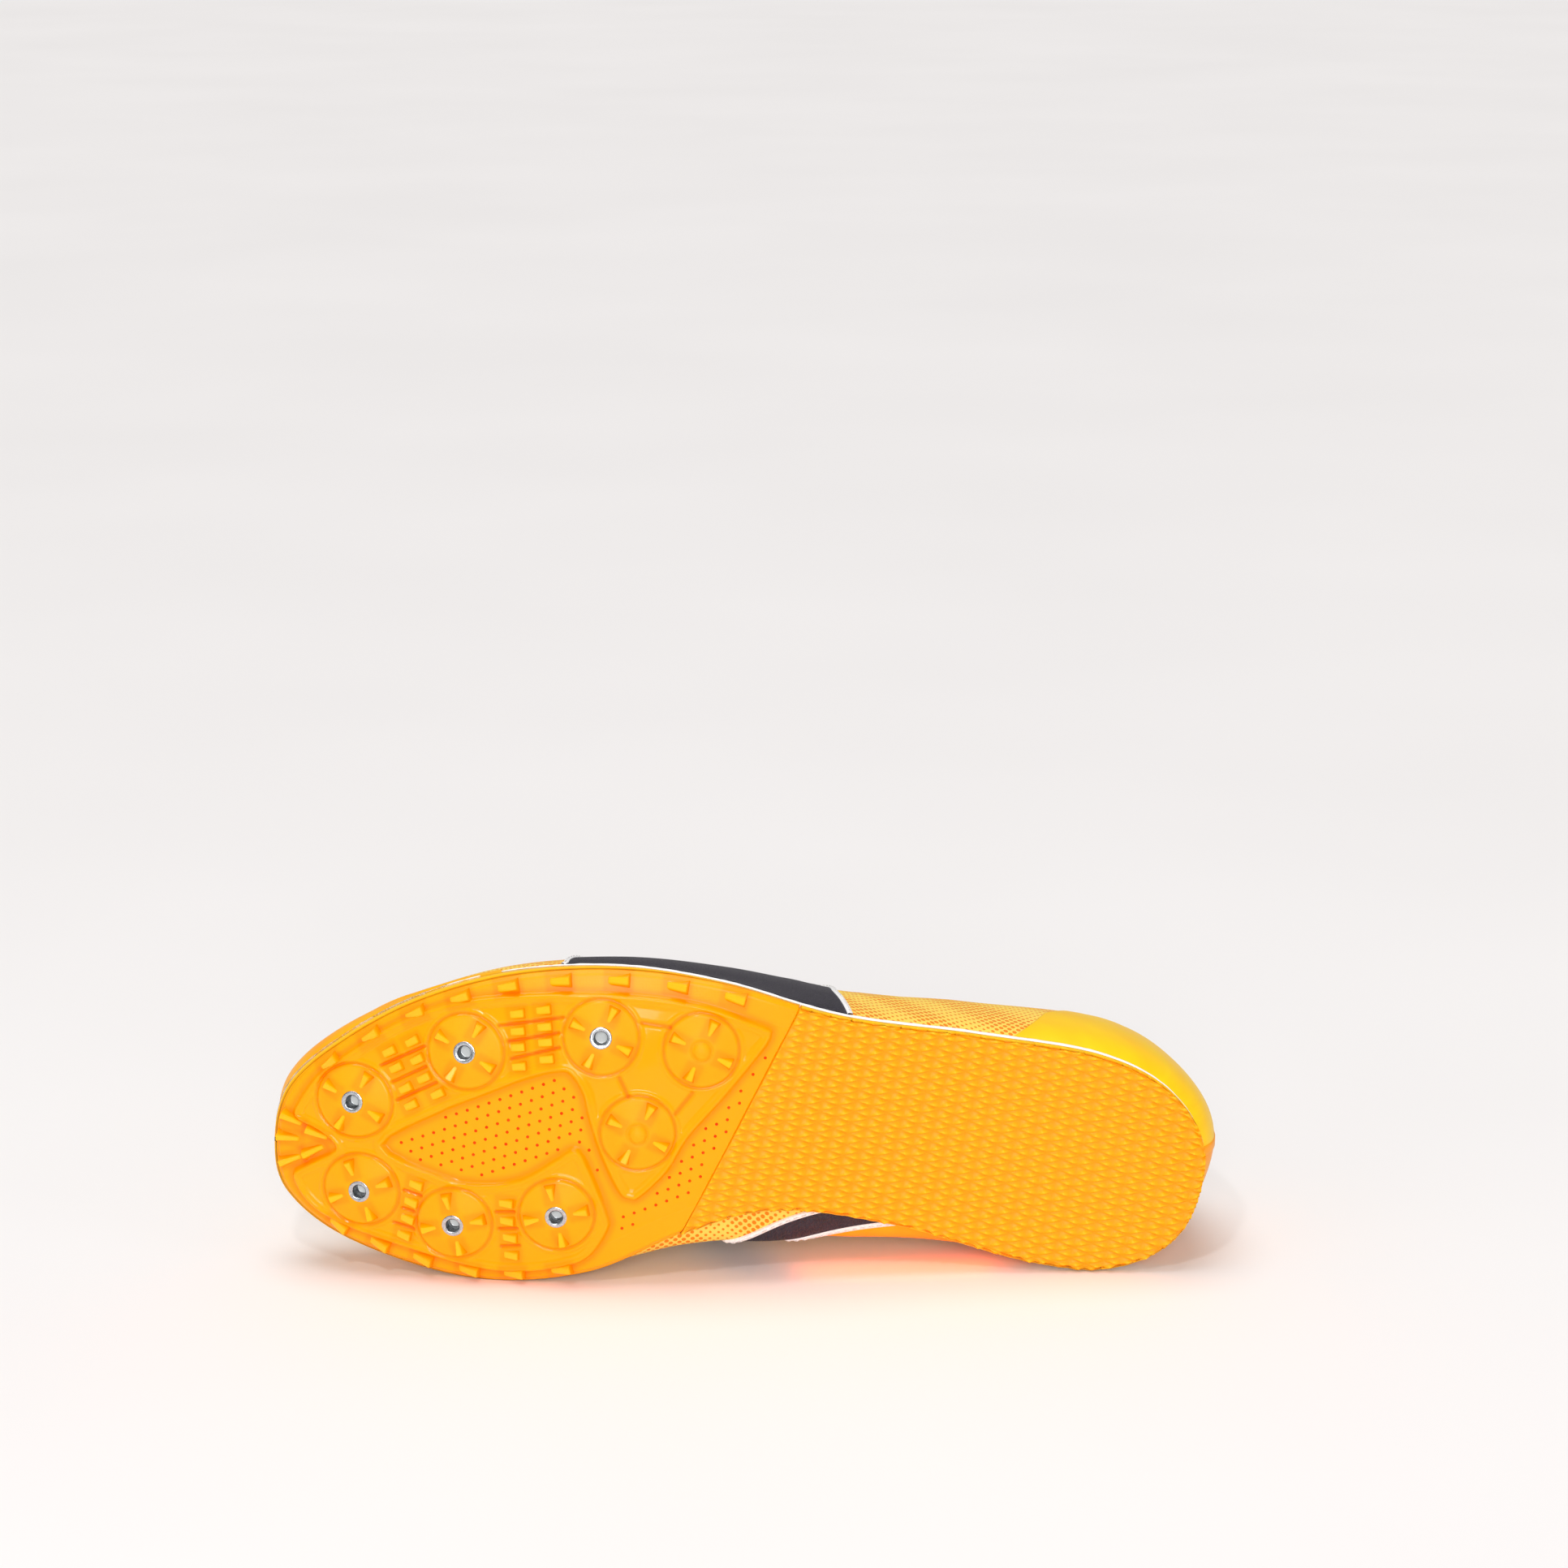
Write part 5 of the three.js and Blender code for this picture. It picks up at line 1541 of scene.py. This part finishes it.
class TRACKSPIKE_OT_panels(bpy.types.Operator):
    """Make the films at toe and heel, the side panels with their edging, the eyestay and its stitches"""

    bl_idname = "trackspike.panels"
    bl_label = "Panels"

    def execute(self, context):
        looks = context.scene.track_spike
        lift = looks.film_lift * 1000
        strip, leather = coated_strip(), embossed_leather(looks)
        toe_film = hot_melt_film(looks, "polyurethane_film_hot_melt_toe", "#FFB206", "#FFA600")
        heel_film = hot_melt_film(looks, "polyurethane_film_hot_melt_heel", "#FFCE00", "#FFC400")
        back_film = hot_melt_film(looks, "polyurethane_film_hot_melt_medial", "#FFA906", "#FF9C00")

        foot = [(6.98, 0.0), (8.1, 0.0), (9.5, 0.0), (11.0, 0.0), (12.6, 0.0), (14.0, 0.0), (15.02, 0.0)]
        top = [
            (7.08, 0.05), (8.2, 0.34), (9.6, 0.50), (11.0, 0.55), (12.4, 0.50), (13.8, 0.32), (14.92, 0.05)
        ]
        grid = between(foot, top, 40, 200)
        film("toe_film", *grid, lift, toe_film, "shell")
        ribbon("toe_film_seam", top, 1.4, lift + 0.2, toe_film, 200)

        foot = [(0.0, 0.0), (0.7, 0.0), (1.4, 0.0), (2.1, 0.0), (2.71, 0.0)]
        top = [(0.0, 0.82), (0.6, 0.78), (1.2, 0.70), (1.75, 0.60), (2.22, 0.50)]
        film("heel_film_lateral", *between(foot, top, 50, 110), lift, heel_film, "shell")
        foot = [(22.0, 0.0), (21.1, 0.0), (20.1, 0.0), (19.1, 0.0), (18.14, 0.0)]
        top = [(22.0, 0.82), (21.4, 0.78), (20.7, 0.70), (19.6, 0.56), (17.5, 0.19)]
        film("heel_film_medial", *between(foot, top, 50, 110), lift, back_film, "shell")
        ribbon(
            "heel_seam",
            [(21.96, 0.0), (21.97, 0.3), (21.98, 0.6), (21.99, 0.98)],
            3.2,
            lift + 0.3,
            back_film,
        )

        for side, (rear, front) in PANEL_BORDERS.items():
            film(f"panel_{side}", *between(rear, front, 70, 110), lift + 0.1, leather, "lining")
            ribbon(f"panel_edging_rear_{side}", rear, REAR_EDGING, lift + 0.45, strip)
            ribbon(f"panel_edging_front_{side}", front, FRONT_EDGING, lift + 0.45, strip)

        stay_rows = np.linspace(4.75, 17.15, 160)
        stay = [
            (r, float(climb_at(r, 13.5 - 3.5 * math.exp(-(((r - 11) / 2.2) ** 2))))) for r in stay_rows[::8]
        ]
        edge = [(r, 0.985) for r, _ in stay]
        film("eyestay", *between(stay, edge, 18, 260), lift + 0.15, back_film, "shell")
        thread = woven_lace()
        thread.name = "polyester_thread_twisted"
        stitches("eyestay_stitches", [stay], -1.6, lift + 0.2, thread)
        borders = [line for pair in PANEL_BORDERS.values() for line in pair]
        stitches("panel_stitches", borders, 0.0, lift + 0.5, thread, 1.8, 2.6, 0.2)
        return {"FINISHED"}


# Rows between which the collar is padded
COLLAR_ROWS = (17.45, 26.6)


class TRACKSPIKE_OT_inside(bpy.types.Operator):
    """Make the padded collar, the tongue and the insole"""

    bl_idname = "trackspike.inside"
    bl_label = "Inside"

    def execute(self, context):
        looks = context.scene.track_spike
        lining = brushed_lining("polyester_tricot_brushed", "#FFD678", "#F4BE52")
        self.collar(looks, lining)
        self.tongue(lining)
        plan = ruled_plan((0.1, HEEL_ROW - 0.1), (TOE_ROW - 0.1, TOE_ROW + 0.1), 200, 60, INSOLE_INSET)
        x, y = plan[..., 0], plan[..., 1]
        rim = rim_distance(x, y, inset=INSOLE_INSET)
        high = INSOLE_THICKNESS * (0.55 + 0.45 * np.sqrt(1 - (1 - np.clip(rim / 2.2, 0, 1)) ** 2))
        high = (
            high
            - 0.5 * np.exp(-(((x - 34) / 22) ** 2 + (y / 17) ** 2))
            - 0.35 * np.exp(-(((x - 190) / 25) ** 2 + ((y - 8) / 28) ** 2))
        )
        level = sole_level(x, y) + FEATHER_LEVEL
        top = np.stack([x, y, level + high], -1)
        low = np.stack([x, y, level], -1)
        points = np.concatenate([top.reshape(-1, 3), low.reshape(-1, 3)])
        n, m = x.shape
        faces = np.concatenate([grid_faces(n, m), grid_faces(n, m, start=n * m)[:, ::-1]]).tolist()
        border = [
            *range(m - 1),
            *range(m - 1, n * m - 1, m),
            *range(n * m - 1, (n - 1) * m, -1),
            *range((n - 1) * m, 0, -m),
        ]
        faces += [(a, b, b + n * m, a + n * m) for a, b in zip(border, border[1:] + border[:1])]
        sock = brushed_lining("polyester_knit_over_foam", "#EFC98A", "#D9A860")
        make_piece("insole_bed", points, faces, sock, ("insole",), cloth=points[:, :2])
        return {"FINISHED"}

    def collar(self, looks, lining):
        """Foam collar: it starts under the rim, wraps over it and runs down the inside."""
        rows = np.linspace(*COLLAR_ROWS, 260)
        pad = looks.padding * 1000
        section = [(0.955, 0.05, 0.0), (0.96, 0.35, 0.0), (0.985, 0.42, 0.0), (1.0, 0.42, 0.0)]
        section += [
            (1.0, 0.42 - 1.25 * (1 - math.cos(a)), 1.15 * math.sin(a))
            for a in np.radians([30, 60, 90, 120, 150])
        ]
        for share in np.linspace(0, 1, 22):
            swell = math.sin(math.pi * share**0.7) ** 0.8
            section.append((1.0 - 0.52 * share, -UPPER_WALL - 0.35 - pad * swell, 0.0))
        fade = np.clip(np.minimum(rows - rows[0], rows[-1] - rows) / 1.4, 0, 1)[:, None] ** 0.5
        parts = np.array(section)
        row, climb = np.meshgrid(rows % HEEL_ROW, parts[:, 0], indexing="ij")
        depth = np.where(
            parts[:, 1] < -UPPER_WALL,
            -UPPER_WALL - 0.3 + (parts[:, 1] + UPPER_WALL + 0.3) * fade,
            parts[:, 1] + 0 * fade,
        )
        points = upper_point(row, climb, depth)
        rise = unit(bare_upper(row, np.ones(row.shape)) - bare_upper(row, np.full(row.shape, 0.99)))
        points = points + rise * parts[:, 2][None, :, None]
        faces = grid_faces(*points.shape[:2])[:, ::-1]
        cloth = np.stack(np.broadcast_arrays(points[..., 0], np.arange(len(parts))[None] * 2.2), -1)
        piece = make_piece("collar_pad", points, faces, lining, cloth=cloth)

    def tongue(self, lining):
        """Padded strip along its middle line, thin at both ends and rounded at its free one."""
        last = len(TONGUE) - 1
        t = np.linspace(0, last, 90)
        middle = np.stack(
            [
                size * along_table(TONGUE[:, k], t)
                for k, size in enumerate((LENGTH, BALL_WIDTH, INSTEP_HEIGHT))
            ],
            -1,
        )
        side = np.array([0.0, 1.0, 0.0])
        up = unit(np.cross(side, unit(np.gradient(middle, axis=0))))
        half = BALL_WIDTH * along_table(TONGUE[:, 3], t)
        run = run_along(middle)
        end = np.minimum(run, run[-1] - run)
        shrink = np.sqrt(1 - (1 - np.clip(end / 4.0, 0.02, 1)) ** 2)
        angles = full_turn(56)
        across, height = squarish(angles, 0.75, 0.6)
        corner = np.sqrt(1 - (1 - np.clip((run[-1] - run) / 15, 0.01, 1)) ** 2)
        reach = (half * (0.35 + 0.65 * corner))[:, None] * across[None]
        quilt = 0.25 * np.sin(2 * math.pi * run / 9.0)[:, None] * (np.abs(across) < 0.8)
        thick = TONGUE_THICKNESS / 2 * shrink[:, None] * height[None]
        sag = (
            reach**2 / (2 * TONGUE_CROWN_RADIUS)
            + TONGUE_THICKNESS / 2
            - quilt * (height > 0.4) * shrink[:, None]
        )
        points = middle[:, None] + side * reach[..., None] + up[:, None] * (thick - sag)[..., None]
        faces = grid_faces(len(t), len(angles), close_columns=True).tolist()
        faces += [
            list(range(len(angles)))[::-1], [(len(t) - 1) * len(angles) + k for k in range(len(angles))]
        ]
        cloth = np.stack(np.broadcast_arrays(run[:, None], reach), -1)
        piece = make_piece("tongue_pad", points, faces, lining, ("tongue",), cloth=cloth)


# Ring of an eyelet as (radius, height)
EYELET_PROFILE = ((3.4, 0.35), (3.2, 0.85), (2.8, 1.0), (2.35, 0.85), (2.1, 0.4), (2.0, -0.6))


class TRACKSPIKE_OT_lace(bpy.types.Operator):
    """Make the flat lace, threaded from eyelet to eyelet, and the eyelets"""

    bl_idname = "trackspike.lace"
    bl_label = "Lace"

    def execute(self, context):
        looks = context.scene.track_spike
        lateral, medial = EYELETS
        last = len(lateral) - 1
        pairs = [(lateral[last], medial[last], 0.0)]
        for k in range(last):
            pairs += [
                (lateral[k], medial[k + 1], 0.9 if k % 2 else -0.3),
                (lateral[k + 1], medial[k], -0.3 if k % 2 else 0.9),
            ]
        points, faces, cloth = [], [], []
        for first, second, over in pairs:
            self.bar(looks, first, second, over, points, faces, cloth)
        points, cloth = np.concatenate(points), np.concatenate(cloth)
        make_piece("laces", points, faces, woven_lace(), ("lace",), cloth=cloth)
        self.eyelets(lateral + medial)
        return {"FINISHED"}

    def bar(self, looks, first, second, over, points, faces, cloth):
        """One run of lace, bunched at its eyelets and flat across the tongue."""
        ends = [(row, float(climb_at(row, EYELET_INSET))) for row in (first, second)]
        stops = []
        for (row, climb), order in zip(ends, (1, -1)):
            beyond = min(climb + 0.5 * (1 - climb), 1.0)
            places = [(climb, -1.4), (climb + 0.02, 0.35), (beyond, 0.95), (1.0, 1.0)]
            line = [(upper_point(row, c, h), upper_normal(row, c)) for c, h in places]
            stops.append(line[::order])
        route = np.array([p for p, _ in stops[0]] + [p for p, _ in stops[1]]).reshape(-1, 3)
        normals = np.array([n for _, n in stops[0]] + [n for _, n in stops[1]]).reshape(-1, 3)
        crown = (route[3] + route[4]) / 2 + np.array([0, 0, 0.7 + over])
        route = np.insert(route, 4, crown, axis=0)
        normals = np.insert(normals, 4, (normals[3] + normals[4]) / 2, axis=0)
        t = np.linspace(0, len(route) - 1, 56)
        line, up = self.smooth(route, t), self.smooth(normals, t)
        forward = unit(np.gradient(line, axis=0))
        side = unit(np.cross(forward, up))
        up = np.cross(side, forward)
        run = run_along(line)
        end = np.minimum(run, run[-1] - run)
        spread = smoothstep(end, 1.0, 8.0)
        width = looks.lace_width * 1000 * (0.55 + 0.45 * spread)
        thick = 1.7 - 0.75 * spread
        across, high = squarish(full_turn(20), 0.6, 0.8)
        ring = (
            line[:, None]
            + side[:, None] * (width[:, None] / 2 * across)[..., None]
            + up[:, None] * (thick[:, None] / 2 * high)[..., None]
        )
        start = sum(len(p) for p in points)
        faces += (grid_faces(len(t), 20, close_columns=True) + start).tolist()
        faces += [[start + k for k in range(20)][::-1], [start + (len(t) - 1) * 20 + k for k in range(20)]]
        points.append(ring.reshape(-1, 3))
        cloth.append(
            np.stack(np.broadcast_arrays(run[:, None], width[:, None] / 2 * across), -1).reshape(-1, 2)
        )

    def smooth(self, stops, t):
        """Smooth open line through stops."""
        i = np.clip(np.floor(t).astype(int), 0, len(stops) - 2)
        near = [stops[np.clip(i + k, 0, len(stops) - 1)] for k in (-1, 0, 1, 2)]
        return hermite(near, (t - i)[:, None])

    def eyelets(self, rows):
        """Punched eyelets: a shallow hole, closed at its bottom, in a welded ring."""
        points, faces = [], []
        turn = full_turn(28)
        for row in rows:
            climb = float(climb_at(row, EYELET_INSET))
            centre, out = upper_point(row, climb), upper_normal(row, climb)
            side = np.cross(out, [0, 0, 1])
            side /= np.linalg.norm(side)
            other = np.cross(out, side)
            start = len(points)
            for a in turn:
                points += [
                    centre + r * (math.cos(a) * side + math.sin(a) * other) + h * out
                    for r, h in EYELET_PROFILE
                ]
            faces += (grid_faces(28, len(EYELET_PROFILE), close_rows=True) + start).tolist()
            faces.append([start + (k + 1) * len(EYELET_PROFILE) - 1 for k in range(28)])
        points = np.array(points)
        make_piece("eyelet_rings", points, faces, coated_strip(), cloth=points[:, :2])


OPERATORS = (
    TRACKSPIKE_OT_stage,
    TRACKSPIKE_OT_outsole,
    TRACKSPIKE_OT_sockets,
    TRACKSPIKE_OT_midsole,
    TRACKSPIKE_OT_upper,
    TRACKSPIKE_OT_panels,
    TRACKSPIKE_OT_inside,
    TRACKSPIKE_OT_lace,
)


class TRACKSPIKE_PT_parts(bpy.types.Panel):
    """Sizes, colours and one button for each group of pieces"""

    bl_idname = "TRACKSPIKE_PT_parts"
    bl_label = "Track spike shoe"
    bl_space_type = "VIEW_3D"
    bl_region_type = "UI"
    bl_category = "Track spike"

    def draw(self, context):
        looks = context.scene.track_spike
        for name in looks.bl_rna.properties.keys():
            if name not in ("rna_type", "name"):
                self.layout.prop(looks, name)
        for operator in OPERATORS:
            self.layout.operator(operator.bl_idname)


CLASSES = (ShoeLooks, *OPERATORS, TRACKSPIKE_PT_parts)


def register():
    for each in CLASSES:
        bpy.utils.register_class(each)
    bpy.types.Scene.track_spike = PointerProperty(type=ShoeLooks)


def unregister():
    del bpy.types.Scene.track_spike
    for each in reversed(CLASSES):
        bpy.utils.unregister_class(each)


def main():
    register()
    bpy.ops.trackspike.stage()
    bpy.ops.trackspike.outsole()
    bpy.ops.trackspike.sockets()
    bpy.ops.trackspike.midsole()
    bpy.ops.trackspike.upper()
    bpy.ops.trackspike.panels()
    bpy.ops.trackspike.inside()
    bpy.ops.trackspike.lace()


if __name__ == "__main__":
    main()
